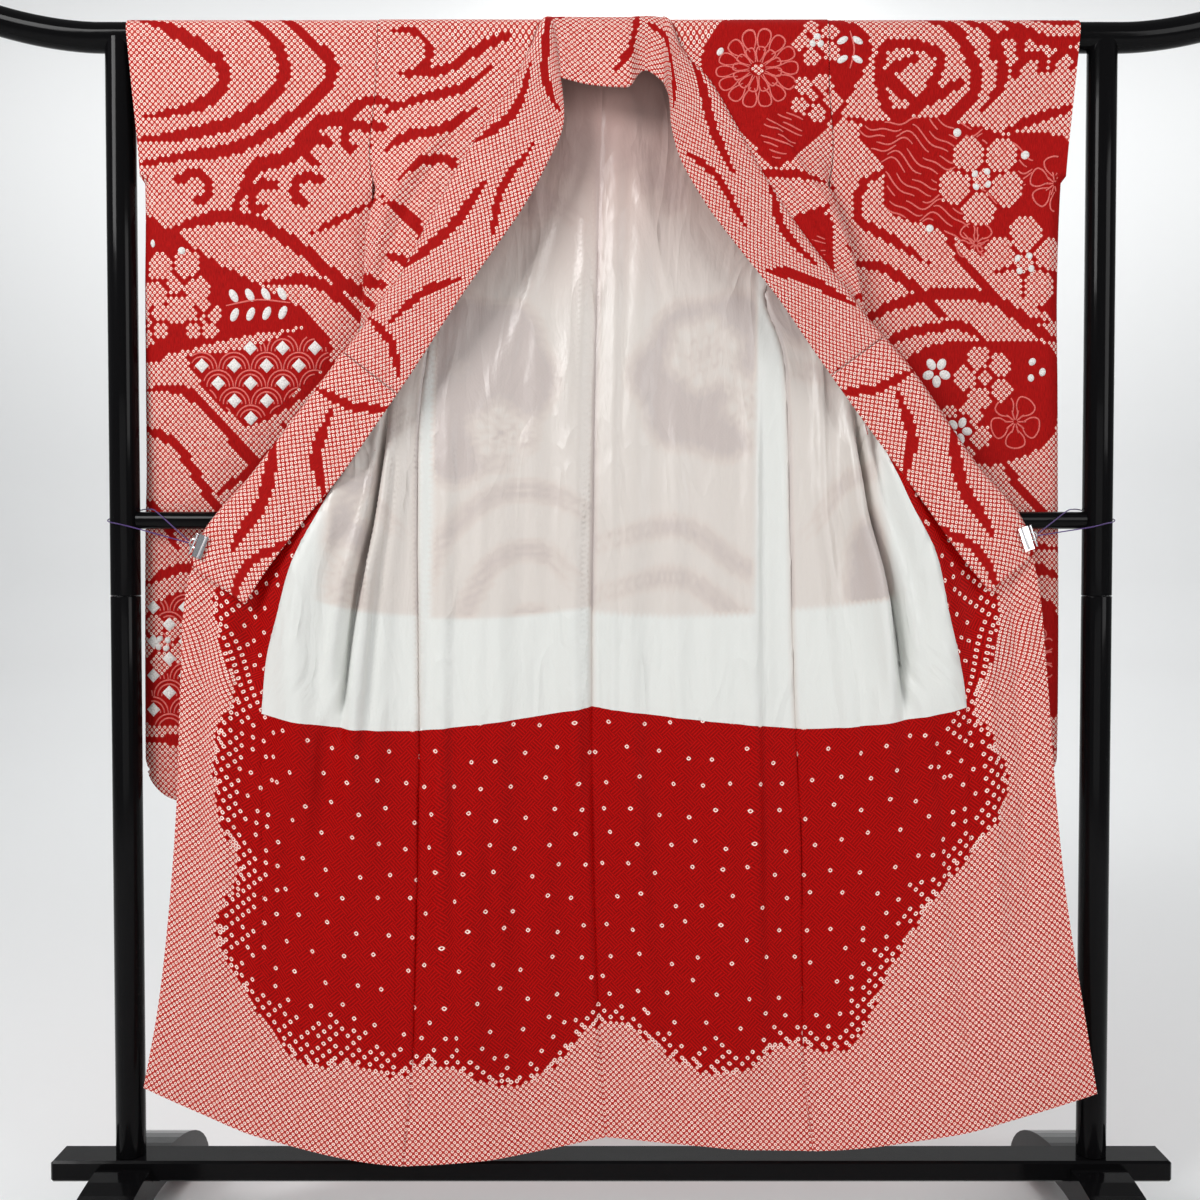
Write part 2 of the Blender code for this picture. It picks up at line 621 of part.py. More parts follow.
def collar_section(seam, free, away, neck):
    """Across the collar, from its seam to its free edge.

    Away is how it leaves the front's edge: high up in line with the front, lower down folded back
    over the front's lining. Neck is 1 where the collar rolls over the bar.
    """
    forward = np.array((0, -1.0, 0))
    across = unit((free - seam) * np.array((1, 0, 1)))
    folded = (1 - float(np.dot(away, across))) / 2
    start = seam + away * (SEAM_ROOM + 0.0022 * folded + 0.0010 * neck)
    side_handle = start + unit(away + across + forward * 0.6) * 0.012
    roll_handle = start + forward * 0.026 + np.array((0, 0, 0.004))
    near = side_handle * (1 - neck) + roll_handle * neck
    over = free + (seam - free) * 0.35 + forward * 0.002
    down = free + np.array((0, 0.004, 0.062))
    far = over * (1 - neck) + down * neck
    return [bezier((start, near, far, free), s) for s in (0, 0.08, 0.19, 0.34, 0.62, 1)]


def collar_rows(side, first, final):
    rows = []
    for t in [first] + [length for length in ROWS if first < length < final] + [final]:
        seam = edge_point(side, t)
        along = unit(edge_point(side, t + 0.003) - edge_point(side, max(t - 0.003, 0)))
        ahead = seam - front_point(side, 0.97, t)
        away = unit(ahead - along * np.dot(ahead, along))
        rows.append(collar_section(seam, collar_tracks[side](t), away, 1 - ease(t / 0.09)))
    return rows


def build_collar():
    """The two ends of the collar and the over-collar that goes round the neck."""
    pieces = {}
    for side, word in enumerate(SIDE_NAMES):
        pieces["collar_" + word] = collar_rows(side, OVER_COLLAR_END + SEAM_ROOM, COLLAR_END)
    down_left = collar_rows(LEFT, 0, OVER_COLLAR_END)
    down_right = collar_rows(RIGHT, 0, OVER_COLLAR_END)
    neck = []
    for seam_x, _, _, _ in NECK_FREE:
        seam = hanging(seam_x, -DRAPE_RADIUS, 0.0, 0.0)
        neck.append(collar_section(seam, neck_track(seam_x), np.array((0, -1.0, 0)), 1.0))
    pieces["over_collar"] = down_left[::-1] + neck + down_right
    for name, grid in pieces.items():
        flip = -1 if name == "collar_left" else 1
        normals = shared_normals([grid], [flip])[0]
        cloth_wall(name, grid, normals, COLLAR_CLOTH, kanoko, flip)


def sleeve_point(side, layer, share, t):
    """A point of a sleeve; layer is -1 in front and +1 behind."""
    inner_x, outer_x, front_y, back_y = sleeve_tracks[side](t)
    depth = front_y if layer < 0 else back_y
    if layer == 0:
        depth = (front_y + back_y) / 2
    wave = 0.0006 * math.sin(9 * share) * ease((t - 0.7) / 0.2) * (1 - share ** 4)
    if t <= ARMHOLE:
        back_x, _, front_x, _, _ = side_seam(side, t)
        inner_x = (front_x if layer < 0 else back_x) + math.copysign(SEAM_ROOM, outer_x)
    return hanging(inner_x + (outer_x - inner_x) * share, depth + wave, t, 0.0, SLEEVE_RADIUS)


def build_sleeve(side):
    """One cloth folded over the bar and sewn at the foot and below the cuff, as a closed wall."""
    points, faces = [], []
    number = {}
    last_row, last_column = len(SLEEVE_ROWS), len(SLEEVE_SHARES) - 1
    width = abs(SLEEVES[side][-1][2] - SLEEVES[side][-1][1])

    def foot(share):
        inside = min((1 - share) * width, SLEEVE_CORNER)
        drop = SLEEVE_CORNER - math.sqrt(SLEEVE_CORNER ** 2 - (SLEEVE_CORNER - inside) ** 2)
        return SLEEVE_LENGTH - drop

    def vertex(layer, column, row):
        share = SLEEVE_SHARES[column]
        sewn = column == last_column and row > SLEEVE_ROWS.index(ARMHOLE) - 1
        if row == 0 or row == last_row or sewn:
            layer_key = 0
        else:
            layer_key = layer
        key = (layer_key, column, row)
        if key not in number:
            length = SLEEVE_LENGTH if row == last_row else SLEEVE_ROWS[row]
            bottom = foot(share)
            start = SLEEVE_ROWS[-5]
            if length > start:
                length = start + (length - start) * (bottom - start) / (SLEEVE_LENGTH - start)
            place = layer_key if row else -1
            number[key] = len(points)
            points.append(sleeve_point(side, place, share, length))
        return number[key]

    for layer in (-1, 1):
        for row in range(last_row):
            for column in range(last_column):
                ring = [vertex(layer, column, row), vertex(layer, column + 1, row),
                        vertex(layer, column + 1, row + 1), vertex(layer, column, row + 1)]
                outward = -layer * (1 if side else -1)
                faces.append(ring if outward > 0 else ring[::-1])
    name = "sleeve_" + SIDE_NAMES[side]
    data = bpy.data.meshes.new(name)
    data.from_pydata([tuple(point) for point in points], [], faces)
    data.shade_smooth()
    sleeve = new_object(name, data, kanoko)
    wall = sleeve.modifiers.new("wall", "SOLIDIFY")
    wall.thickness = SLEEVE_CLOTH
    wall.offset = 0
    return sleeve


def primitive(name, material, collection=None):
    """Takes the primitive just added, names it and puts it in a collection."""
    thing = bpy.context.object
    thing.name = name
    thing.data.name = name
    for old in list(thing.users_collection):
        old.objects.unlink(thing)
    (collection or furisode).objects.link(thing)
    if material:
        thing.data.materials.append(material)
    return thing


def cylinder(name, radius, low, high, material, collection=None, axis="Z", sides=24):
    """A cylinder between two points on one axis."""
    low, high = Vector(low), Vector(high)
    turn = {"Z": (0, 0, 0), "X": (0, math.pi / 2, 0), "Y": (math.pi / 2, 0, 0)}[axis]
    bpy.ops.mesh.primitive_cylinder_add(vertices=sides, radius=radius, depth=(high - low).length,
                                        location=(low + high) / 2, rotation=turn)
    return primitive(name, material, collection)


def cut(thing, cutter, operation="DIFFERENCE"):
    modifier = thing.modifiers.new(cutter.name, "BOOLEAN")
    modifier.operation = operation
    modifier.object = cutter
    cutter.hide_render = True
    cutter.display_type = "WIRE"


def rounded(thing, width, segments=1):
    bevel = thing.modifiers.new("edges", "BEVEL")
    bevel.width = width
    bevel.segments = segments
    bevel.limit_method = "ANGLE"
    bevel.angle_limit = math.radians(50)


def tube(name, points, radius, material, resolution=2):
    """A round bar or cord along a list of points."""
    curve = bpy.data.curves.new(name, "CURVE")
    curve.dimensions = "3D"
    curve.bevel_depth = radius
    curve.bevel_resolution = resolution
    curve.use_fill_caps = True
    spline = curve.splines.new("POLY")
    spline.points.add(len(points) - 1)
    for at, point in zip(spline.points, points):
        at.co = (*point, 1)
    return new_object(name, curve, material)


def build_stand():
    """Bars, uprights, base bar and feet."""
    straight = 0.70
    points = [(-straight, 0, BAR_Z), (-straight / 2, 0, BAR_Z), (0, 0, BAR_Z),
              (straight / 2, 0, BAR_Z), (straight, 0, BAR_Z)]
    for i in range(1, 9):
        out = straight + (BAR_HALF - straight) * i / 8
        rise = BAR_END_RISE * (i / 8) ** 1.8
        points.append((out, 0, BAR_Z + rise))
        points.insert(0, (-out, 0, BAR_Z + rise))
    tube("top_bar", points, BAR_RADIUS, lacquer, 4)
    bar_cutter = cylinder("bar_cutter", BAR_RADIUS + GAP, (-1, 0, BAR_Z), (1, 0, BAR_Z), None,
                          cutters, "X")
    mid = cylinder("mid_bar", MID_BAR_RADIUS, (-UPRIGHT_X, 0, MID_BAR_Z), (UPRIGHT_X, 0, MID_BAR_Z),
                   lacquer, axis="X", sides=24)
    for x, word in ((-UPRIGHT_X, "left"), (UPRIGHT_X, "right")):
        lower = cylinder("upright_lower_" + word, UPRIGHT_RADIUS, (x, 0, BASE_TOP + GAP),
                         (x, 0, UPRIGHT_JOINT_Z), lacquer)
        rounded(lower, 0.0012)
        upper = cylinder("upright_upper_" + word, UPRIGHT_RADIUS, (x, 0, UPRIGHT_JOINT_Z + GAP),
                         (x, 0, BAR_Z), lacquer)
        cut(upper, bar_cutter)
        socket = cylinder("upright_cutter_" + word, UPRIGHT_RADIUS + GAP, (x, 0, MID_BAR_Z - 0.1),
                          (x, 0, MID_BAR_Z + 0.1), None, cutters)
        cut(mid, socket)
        build_foot(x, word)
    bpy.ops.mesh.primitive_cube_add(size=1, location=(0, 0, BASE_TOP - BASE_SIZE[2] / 2),
                                    scale=BASE_SIZE)
    bpy.ops.object.transform_apply(location=False, rotation=False, scale=True)
    rounded(primitive("base_bar", lacquer), 0.003)


def build_foot(x, word):
    """An arched foot under one upright, notched for the base bar."""
    top = [(FOOT_HALF * math.cos(a), FOOT_HEIGHT * math.sin(a))
           for a in (math.pi * i / 24 for i in range(25))]
    arch = [(-ARCH_HALF * math.cos(a), ARCH_HEIGHT * math.sin(a))
            for a in (math.pi * i / 14 for i in range(15))]
    outline = top + arch
    mesh = bmesh.new()
    ring = [mesh.verts.new((x - FOOT_WIDTH / 2, y, z)) for y, z in outline]
    face = mesh.faces.new(ring)
    swept = bmesh.ops.extrude_face_region(mesh, geom=[face])["geom"]
    bmesh.ops.translate(mesh, vec=(FOOT_WIDTH, 0, 0),
                        verts=[item for item in swept if isinstance(item, bmesh.types.BMVert)])
    bmesh.ops.recalc_face_normals(mesh, faces=mesh.faces)
    data = bpy.data.meshes.new("foot_" + word)
    mesh.to_mesh(data)
    mesh.free()
    foot = new_object("foot_" + word, data, lacquer)
    bpy.ops.mesh.primitive_cube_add(size=1, location=(x, 0, BASE_TOP + 0.02 - BASE_SIZE[2] / 2 - GAP),
                                    scale=(FOOT_WIDTH * 2, BASE_SIZE[1] + 2 * GAP, BASE_SIZE[2] + 0.04))
    cut(foot, primitive("foot_cutter_" + word, None, cutters))


def clip_frame(side):
    """Middle of the clipped edge, its direction and the direction out of the cloth."""
    t = CLIP_T[side]
    middle = edge_point(side, t)
    along = unit(edge_point(side, t + 0.01) - edge_point(side, t - 0.01))
    into = unit(collar_tracks[side](t) - middle)
    into = unit(into - along * np.dot(into, along))
    return middle, along, -into, np.cross(along, into)


def build_clip(side):
    """A folded jaw round the edge of cloth and collar, with a ring for the cord."""
    word = SIDE_NAMES[side]
    middle, along, out, across = clip_frame(side)
    if across[1] > 0:
        across = -across
    front = 0.0105
    back = front - CLIP_INNER
    jaw = CLIP_JAW
    nose = 0.0046
    outline = ((-CLIP_REACH, front + jaw), (nose, front + jaw), (nose + jaw, front),
               (nose + jaw, back), (nose, back - jaw), (-CLIP_REACH, back - jaw),
               (-CLIP_REACH, back), (nose, back), (nose, front), (-CLIP_REACH, front))
    mesh = bmesh.new()
    rings = []
    for end in (-CLIP_LENGTH / 2, CLIP_LENGTH / 2):
        rings.append([mesh.verts.new(middle + along * end + out * o + across * a) for o, a in outline])
    mesh.faces.new(rings[0])
    mesh.faces.new(rings[1][::-1])
    for i in range(len(outline)):
        j = (i + 1) % len(outline)
        mesh.faces.new((rings[0][i], rings[0][j], rings[1][j], rings[1][i]))
    bmesh.ops.recalc_face_normals(mesh, faces=mesh.faces)
    data = bpy.data.meshes.new("clip_" + word)
    mesh.to_mesh(data)
    mesh.free()
    clip = new_object("clip_" + word, data, chrome)
    centre = middle + out * (nose + jaw + RING_RADIUS) + across * (front + back) / 2
    bpy.ops.mesh.primitive_torus_add(major_segments=20, minor_segments=8, major_radius=RING_RADIUS,
                                     minor_radius=RING_WIRE, location=centre)
    ring = primitive("ring_cutter_" + word, None, cutters)
    ring.rotation_mode = "QUATERNION"
    ring.rotation_quaternion = Vector((0, 0, 1)).rotation_difference(Vector(across))
    cut(clip, ring, "UNION")
    return centre, out, across


def build_cord(side, centre, out, across):
    """The cord from a clip's ring over the middle bar, behind the upright and back to the ring."""
    way = -1 if side == LEFT else 1
    x = way * UPRIGHT_X
    start = centre + out * (RING_RADIUS + RING_WIRE + CORD_RADIUS + GAP) + np.array((0, 0, 0.0012))
    finish = start - np.array((0, 0, 0.0030))
    reach = UPRIGHT_RADIUS + 0.0016
    high = MID_BAR_Z + MID_BAR_RADIUS + 0.0016
    route = [start,
             start + (np.array((x - way * 0.046, -0.010, high - 0.001)) - start) * 0.5,
             np.array((x - way * 0.046, -0.010, high - 0.001)),
             np.array((x - way * 0.032, 0.004, high + 0.002)),
             np.array((x - way * 0.020, 0.0145, high + 0.002)),
             np.array((x - way * 0.009, reach, high)),
             np.array((x + way * 0.004, reach + 0.001, high - 0.003)),
             np.array((x + way * 0.0165, 0.0155, high - 0.007)),
             np.array((x + way * (reach + 0.001), 0.000, high - 0.012)),
             np.array((x + way * 0.0165, -0.0155, high - 0.016)),
             np.array((x + way * 0.002, -reach - 0.001, high - 0.019)),
             np.array((x - way * 0.020, -0.0270, high - 0.024)),
             finish + (np.array((x - way * 0.020, -0.0270, high - 0.024)) - finish) * 0.4,
             finish]
    track = smooth_track([(i, *point) for i, point in enumerate(route)])
    steps = 2 * (len(route) - 1)
    tube("cord_" + SIDE_NAMES[side], [track(i / 2) for i in range(steps + 1)], CORD_RADIUS, purple)


for old_object in list(bpy.data.objects):
    bpy.data.objects.remove(old_object, do_unlink=True)

furisode = bpy.data.collections.new("furisode_on_kimono_stand")
cutters = bpy.data.collections.new("cutters")
for group in (furisode, cutters):
    bpy.context.scene.collection.children.link(group)

kanoko = principled("kanoko", (0.72, 0.16, 0.14), 0.75)
hem_red = principled("hem_red", (0.55, 0.012, 0.010), 0.45)
white_silk = principled("white_silk", (0.80, 0.79, 0.76), 0.35)
lacquer = principled("black_lacquer", (0.008, 0.008, 0.009), 0.15)
chrome = principled("chrome", (0.80, 0.80, 0.82), 0.15, 1.0)
purple = principled("purple_cord", (0.09, 0.03, 0.22), 0.6)

build_body()
build_collar()
for sleeve_side in (LEFT, RIGHT):
    build_sleeve(sleeve_side)
build_stand()
for clip_side in (LEFT, RIGHT):
    build_cord(clip_side, *build_clip(clip_side))
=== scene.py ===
"""Looks of a furisode that hangs open on a kimono stand.

Each cloth piece is made over its solid from the same seam and fold tables, and cut into the small
diamonds of tied and dyed silk. One diamond is one tied knot, so a motif's edge has steps, as on the
real cloth. X is the distance from the centre back seam and T the length of cloth from the shoulder
fold, negative on the back.
"""
import math

import bpy
import numpy as np
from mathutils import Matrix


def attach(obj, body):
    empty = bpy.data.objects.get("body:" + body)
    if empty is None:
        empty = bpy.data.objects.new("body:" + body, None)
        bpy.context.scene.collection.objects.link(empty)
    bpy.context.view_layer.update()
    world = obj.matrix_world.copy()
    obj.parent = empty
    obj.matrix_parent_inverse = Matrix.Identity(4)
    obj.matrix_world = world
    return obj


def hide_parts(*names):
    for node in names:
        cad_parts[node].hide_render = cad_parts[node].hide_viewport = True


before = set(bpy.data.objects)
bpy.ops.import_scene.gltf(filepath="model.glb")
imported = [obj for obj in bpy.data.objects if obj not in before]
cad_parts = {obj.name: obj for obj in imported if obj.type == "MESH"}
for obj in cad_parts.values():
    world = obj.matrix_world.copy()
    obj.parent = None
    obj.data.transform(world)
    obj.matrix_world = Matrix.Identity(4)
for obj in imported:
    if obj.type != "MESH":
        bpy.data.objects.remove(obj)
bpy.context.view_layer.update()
scene = bpy.context.scene

# Camera
camera_data = bpy.data.cameras.new("camera")
camera_data.lens = 36
camera_data.sensor_width = 36
camera_data.clip_start = 0.05
camera = bpy.data.objects.new("camera", camera_data)
camera.location = (-0.0155, -1.67, 0.936)
camera.rotation_euler = (math.radians(90 - 1.43), 0, 0)
scene.collection.objects.link(camera)
scene.camera = camera
scene.view_settings.view_transform = "Standard"

# Sizes of the stand and the cloth, as in the solids
BAR_RADIUS = 0.020
BAR_Z = 1.668
BAR_HALF = 0.93
BAR_END_RISE = 0.055
UPRIGHT_RADIUS = 0.020
UPRIGHT_X = 0.6755
UPRIGHT_JOINT_Z = 0.900
MID_BAR_RADIUS = 0.012
MID_BAR_Z = 1.005
BASE_TOP = 0.115
CLOTH = 0.0012
LINING = 0.0010
SLEEVE_CLOTH = 0.0020
COLLAR_CLOTH = 0.0024
GAP = 0.0003
SEAM_ROOM = 0.0009
CHORD_ROOM = 0.0011
BODY_LENGTH = 1.56
ARMHOLE = 0.23
SIDE_SEAM_TOP = 0.38
OVERLAP_TOP = 0.38
SLEEVE_LENGTH = 1.095
SLEEVE_WIDTH = 0.340
SLEEVE_CORNER = 0.06
COLLAR_END = 0.84
OVER_COLLAR_END = 0.50
DRAPE_RADIUS = BAR_RADIUS + CHORD_ROOM + LINING + GAP + CLOTH / 2
SLEEVE_RADIUS = BAR_RADIUS + CHORD_ROOM + SLEEVE_CLOTH / 2
QUARTER_TURN = DRAPE_RADIUS * math.pi / 2
LEFT, RIGHT = 0, 1
WORDS = ("left", "right")

# Cloth length at which the white lining ends: at the centre back, the side and the overlap seam
SEAM_CENTRE, SEAM_SIDE, SEAM_OVERLAP = 0.965, 0.985, 1.005
# How far a lining lies from the outer cloth, and how much of that is missing at a long seam
INWARD = CLOTH / 2 + GAP + LINING / 2
SEAM_GROOVE = 0.0011
# Half the diagonal of one tied diamond, half the width of a stitched line, and the reach of a tuft
# beyond which it is a diamond and not round
PITCH = 0.004
LINE_HALF = 0.0011
ROUND_TUFT = 0.0099
# Dyes of a diamond: a knot among knots, plain dyed cloth, and a lone knot on plain dyed cloth
PALE, RED, LONE = 0.0, 1.0, 3.0

# Centre back seam: cloth length, place and lift
CENTRE = (
    # t      x       y       lift
    (0.000, -0.012, 0.0230, 0.000),
    (0.036, -0.011, 0.0230, 0.000),
    (0.100, -0.012, 0.0200, 0.000),
    (0.230, -0.016, 0.0120, 0.001),
    (0.380, -0.019, 0.0050, 0.002),
    (0.550, -0.023, -0.0050, 0.003),
    (0.700, -0.025, -0.0150, 0.005),
    (0.850, -0.027, -0.0190, 0.008),
    (1.000, -0.0265, -0.0220, 0.010),
    (1.150, -0.025, -0.0250, 0.010),
    (1.300, -0.021, -0.0280, 0.010),
    (1.450, -0.014, -0.0310, 0.010),
    (1.560, -0.007, -0.0320, 0.010),
)

# Side seams, from which the back and the front part above the seam's top
SIDE = (
    (
        # t     back_x  back_y   front_x  front_y  lift
        (0.000, -0.317, 0.0230, -0.317, -0.0230, 0.000),
        (0.036, -0.317, 0.0230, -0.317, -0.0230, 0.000),
        (0.100, -0.319, 0.0218, -0.320, -0.0200, 0.000),
        (0.230, -0.323, 0.0200, -0.327, -0.0145, 0.000),
        (0.300, -0.290, 0.0120, -0.295, -0.0130, 0.000),
        (0.380, -0.241, 0.0000, -0.241, 0.0000, 0.000),
        (0.465, -0.253, -0.0070, -0.253, -0.0070, 0.000),
        (0.550, -0.263, -0.0140, -0.263, -0.0140, 0.000),
        (0.700, -0.266, -0.0200, -0.266, -0.0200, 0.000),
        (0.880, -0.264, -0.0290, -0.264, -0.0290, -0.001),
        (1.000, -0.262, -0.0390, -0.262, -0.0390, -0.002),
        (1.150, -0.263, -0.0480, -0.263, -0.0480, -0.004),
        (1.300, -0.266, -0.0550, -0.266, -0.0550, -0.007),
        (1.450, -0.271, -0.0610, -0.271, -0.0610, -0.011),
        (1.560, -0.282, -0.0650, -0.282, -0.0650, -0.014),
    ),
    (
        (0.000, 0.295, 0.0230, 0.295, -0.0230, 0.000),
        (0.036, 0.295, 0.0230, 0.295, -0.0230, 0.000),
        (0.100, 0.295, 0.0218, 0.296, -0.0200, 0.000),
        (0.230, 0.297, 0.0200, 0.299, -0.0145, 0.000),
        (0.300, 0.263, 0.0120, 0.268, -0.0130, 0.000),
        (0.380, 0.213, 0.0000, 0.213, 0.0000, 0.000),
        (0.465, 0.236, -0.0060, 0.236, -0.0060, 0.000),
        (0.550, 0.242, -0.0100, 0.242, -0.0100, 0.000),
        (0.700, 0.245, -0.0190, 0.245, -0.0190, 0.000),
        (0.880, 0.249, -0.0260, 0.249, -0.0260, 0.000),
        (1.000, 0.253, -0.0310, 0.253, -0.0310, 0.000),
        (1.150, 0.260, -0.0350, 0.260, -0.0350, -0.001),
        (1.300, 0.261, -0.0390, 0.261, -0.0390, -0.001),
        (1.450, 0.264, -0.0420, 0.264, -0.0420, -0.002),
        (1.560, 0.276, -0.0450, 0.276, -0.0450, -0.003),
    ),
)

# Sections of the fronts: near and far are the handles of a curve from the side to the collar edge.
# Between 0.2 and 0.5 of cloth length the front turns over: above, its outer face is seen.
FRONT = (
    (
        # t     near_x  near_y   far_x   far_y    edge_x  edge_y   lift
        (0.000, -0.240, -0.0230, -0.163, -0.0230, -0.086, -0.0230, 0.000),
        (0.036, -0.248, -0.0230, -0.178, -0.0235, -0.108, -0.0245, -0.017),
        (0.100, -0.265, -0.0240, -0.200, -0.0310, -0.140, -0.0290, -0.019),
        (0.165, -0.285, -0.0215, -0.240, -0.0340, -0.177, -0.0320, -0.010),
        (0.230, -0.318, -0.0270, -0.305, -0.0385, -0.213, -0.0340, -0.002),
        (0.265, -0.330, -0.0270, -0.340, -0.0410, -0.229, -0.0350, 0.002),
        (0.300, -0.345, -0.0240, -0.358, -0.0430, -0.246, -0.0360, 0.007),
        (0.340, -0.354, -0.0120, -0.367, -0.0400, -0.266, -0.0375, 0.008),
        (0.380, -0.356, -0.0090, -0.370, -0.0280, -0.286, -0.0390, 0.009),
        (0.420, -0.352, -0.0080, -0.363, -0.0170, -0.313, -0.0400, 0.014),
        (0.465, -0.345, -0.0110, -0.355, -0.0200, -0.339, -0.0410, 0.020),
        (0.505, -0.340, -0.0130, -0.362, -0.0225, -0.364, -0.0415, 0.026),
        (0.550, -0.335, -0.0165, -0.371, -0.0230, -0.392, -0.0420, 0.032),
        (0.700, -0.340, -0.0320, -0.410, -0.0390, -0.485, -0.0450, 0.057),
        (0.800, -0.360, -0.0360, -0.455, -0.0430, -0.550, -0.0450, 0.079),
        (0.880, -0.368, -0.0410, -0.472, -0.0470, -0.576, -0.0440, 0.082),
        (1.000, -0.370, -0.0490, -0.477, -0.0520, -0.584, -0.0460, 0.082),
        (1.150, -0.372, -0.0560, -0.480, -0.0580, -0.589, -0.0480, 0.082),
        (1.300, -0.378, -0.0620, -0.490, -0.0590, -0.601, -0.0460, 0.083),
        (1.450, -0.387, -0.0670, -0.504, -0.0570, -0.620, -0.0420, 0.084),
        (1.560, -0.402, -0.0700, -0.522, -0.0540, -0.643, -0.0360, 0.080),
    ),
    (
        (0.000, 0.220, -0.0230, 0.145, -0.0230, 0.070, -0.0230, 0.000),
        (0.036, 0.228, -0.0230, 0.160, -0.0235, 0.094, -0.0245, -0.020),
        (0.100, 0.243, -0.0240, 0.189, -0.0310, 0.135, -0.0290, -0.007),
        (0.165, 0.266, -0.0215, 0.232, -0.0340, 0.169, -0.0320, -0.001),
        (0.230, 0.290, -0.0270, 0.288, -0.0385, 0.202, -0.0340, 0.004),
        (0.265, 0.305, -0.0270, 0.325, -0.0410, 0.221, -0.0350, 0.008),
        (0.300, 0.325, -0.0240, 0.346, -0.0430, 0.241, -0.0360, 0.013),
        (0.340, 0.340, -0.0120, 0.362, -0.0400, 0.265, -0.0375, 0.019),
        (0.380, 0.350, -0.0090, 0.370, -0.0280, 0.290, -0.0390, 0.026),
        (0.420, 0.350, -0.0080, 0.366, -0.0170, 0.317, -0.0400, 0.032),
        (0.465, 0.347, -0.0110, 0.359, -0.0200, 0.343, -0.0410, 0.039),
        (0.505, 0.342, -0.0130, 0.368, -0.0225, 0.370, -0.0415, 0.047),
        (0.550, 0.338, -0.0165, 0.379, -0.0230, 0.400, -0.0420, 0.056),
        (0.700, 0.325, -0.0300, 0.415, -0.0390, 0.488, -0.0450, 0.076),
        (0.800, 0.345, -0.0340, 0.450, -0.0430, 0.553, -0.0450, 0.097),
        (0.880, 0.356, -0.0380, 0.468, -0.0460, 0.577, -0.0440, 0.097),
        (1.000, 0.364, -0.0440, 0.477, -0.0510, 0.590, -0.0460, 0.093),
        (1.150, 0.372, -0.0490, 0.487, -0.0550, 0.602, -0.0480, 0.086),
        (1.300, 0.380, -0.0530, 0.500, -0.0560, 0.620, -0.0460, 0.081),
        (1.450, 0.390, -0.0560, 0.520, -0.0540, 0.647, -0.0420, 0.076),
        (1.560, 0.405, -0.0570, 0.537, -0.0520, 0.668, -0.0360, 0.072),
    ),
)

# Width of the overlap panel between its seam and the front edge
OVERLAP = (
    # t     width
    (0.380, 0.0025),
    (0.420, 0.0060),
    (0.465, 0.012),
    (0.505, 0.025),
    (0.550, 0.052),
    (0.625, 0.088),
    (0.700, 0.108),
    (0.850, 0.134),
    (1.000, 0.122),
    (1.150, 0.128),
    (1.300, 0.140),
    (1.560, 0.146),
)

# Free edge of the collar, beside the cloth length of the front edge that it is sewn to
COLLAR_FREE = (
    (
        # t      x       y        z
        (0.000, -0.072, -0.0320, 1.602),
        (0.036, -0.068, -0.0335, 1.590),
        (0.060, -0.065, -0.0350, 1.573),
        (0.100, -0.065, -0.0380, 1.535),
        (0.165, -0.088, -0.0415, 1.480),
        (0.230, -0.119, -0.0450, 1.423),
        (0.300, -0.159, -0.0480, 1.365),
        (0.380, -0.209, -0.0500, 1.293),
        (0.465, -0.266, -0.0515, 1.205),
        (0.550, -0.318, -0.0525, 1.129),
        (0.625, -0.364, -0.0535, 1.063),
        (0.700, -0.410, -0.0545, 1.007),
        (0.780, -0.467, -0.0550, 0.932),
        (0.840, -0.494, -0.0550, 0.890),
    ),
    (
        (0.000, 0.070, -0.0320, 1.595),
        (0.036, 0.077, -0.0330, 1.577),
        (0.060, 0.079, -0.0350, 1.560),
        (0.100, 0.080, -0.0380, 1.538),
        (0.165, 0.093, -0.0410, 1.489),
        (0.230, 0.126, -0.0440, 1.430),
        (0.300, 0.163, -0.0470, 1.379),
        (0.380, 0.220, -0.0500, 1.306),
        (0.465, 0.273, -0.0510, 1.229),
        (0.550, 0.326, -0.0520, 1.154),
        (0.625, 0.373, -0.0530, 1.090),
        (0.700, 0.420, -0.0540, 1.026),
        (0.780, 0.470, -0.0550, 0.955),
        (0.840, 0.509, -0.0550, 0.907),
    ),
)

# Free edge of the collar where it hangs down over the bar at the neck, with its pinched fold
NECK_FREE = (
    # seam_x   x      y        z
    (-0.060, -0.055, -0.0330, 1.597),
    (-0.035, -0.032, -0.0345, 1.591),
    (-0.010, -0.008, -0.0380, 1.587),
    (0.008, 0.010, -0.0430, 1.584),
    (0.022, 0.025, -0.0440, 1.585),
    (0.034, 0.034, -0.0340, 1.602),
    (0.047, 0.046, -0.0300, 1.612),
    (0.058, 0.058, -0.0305, 1.606),
)

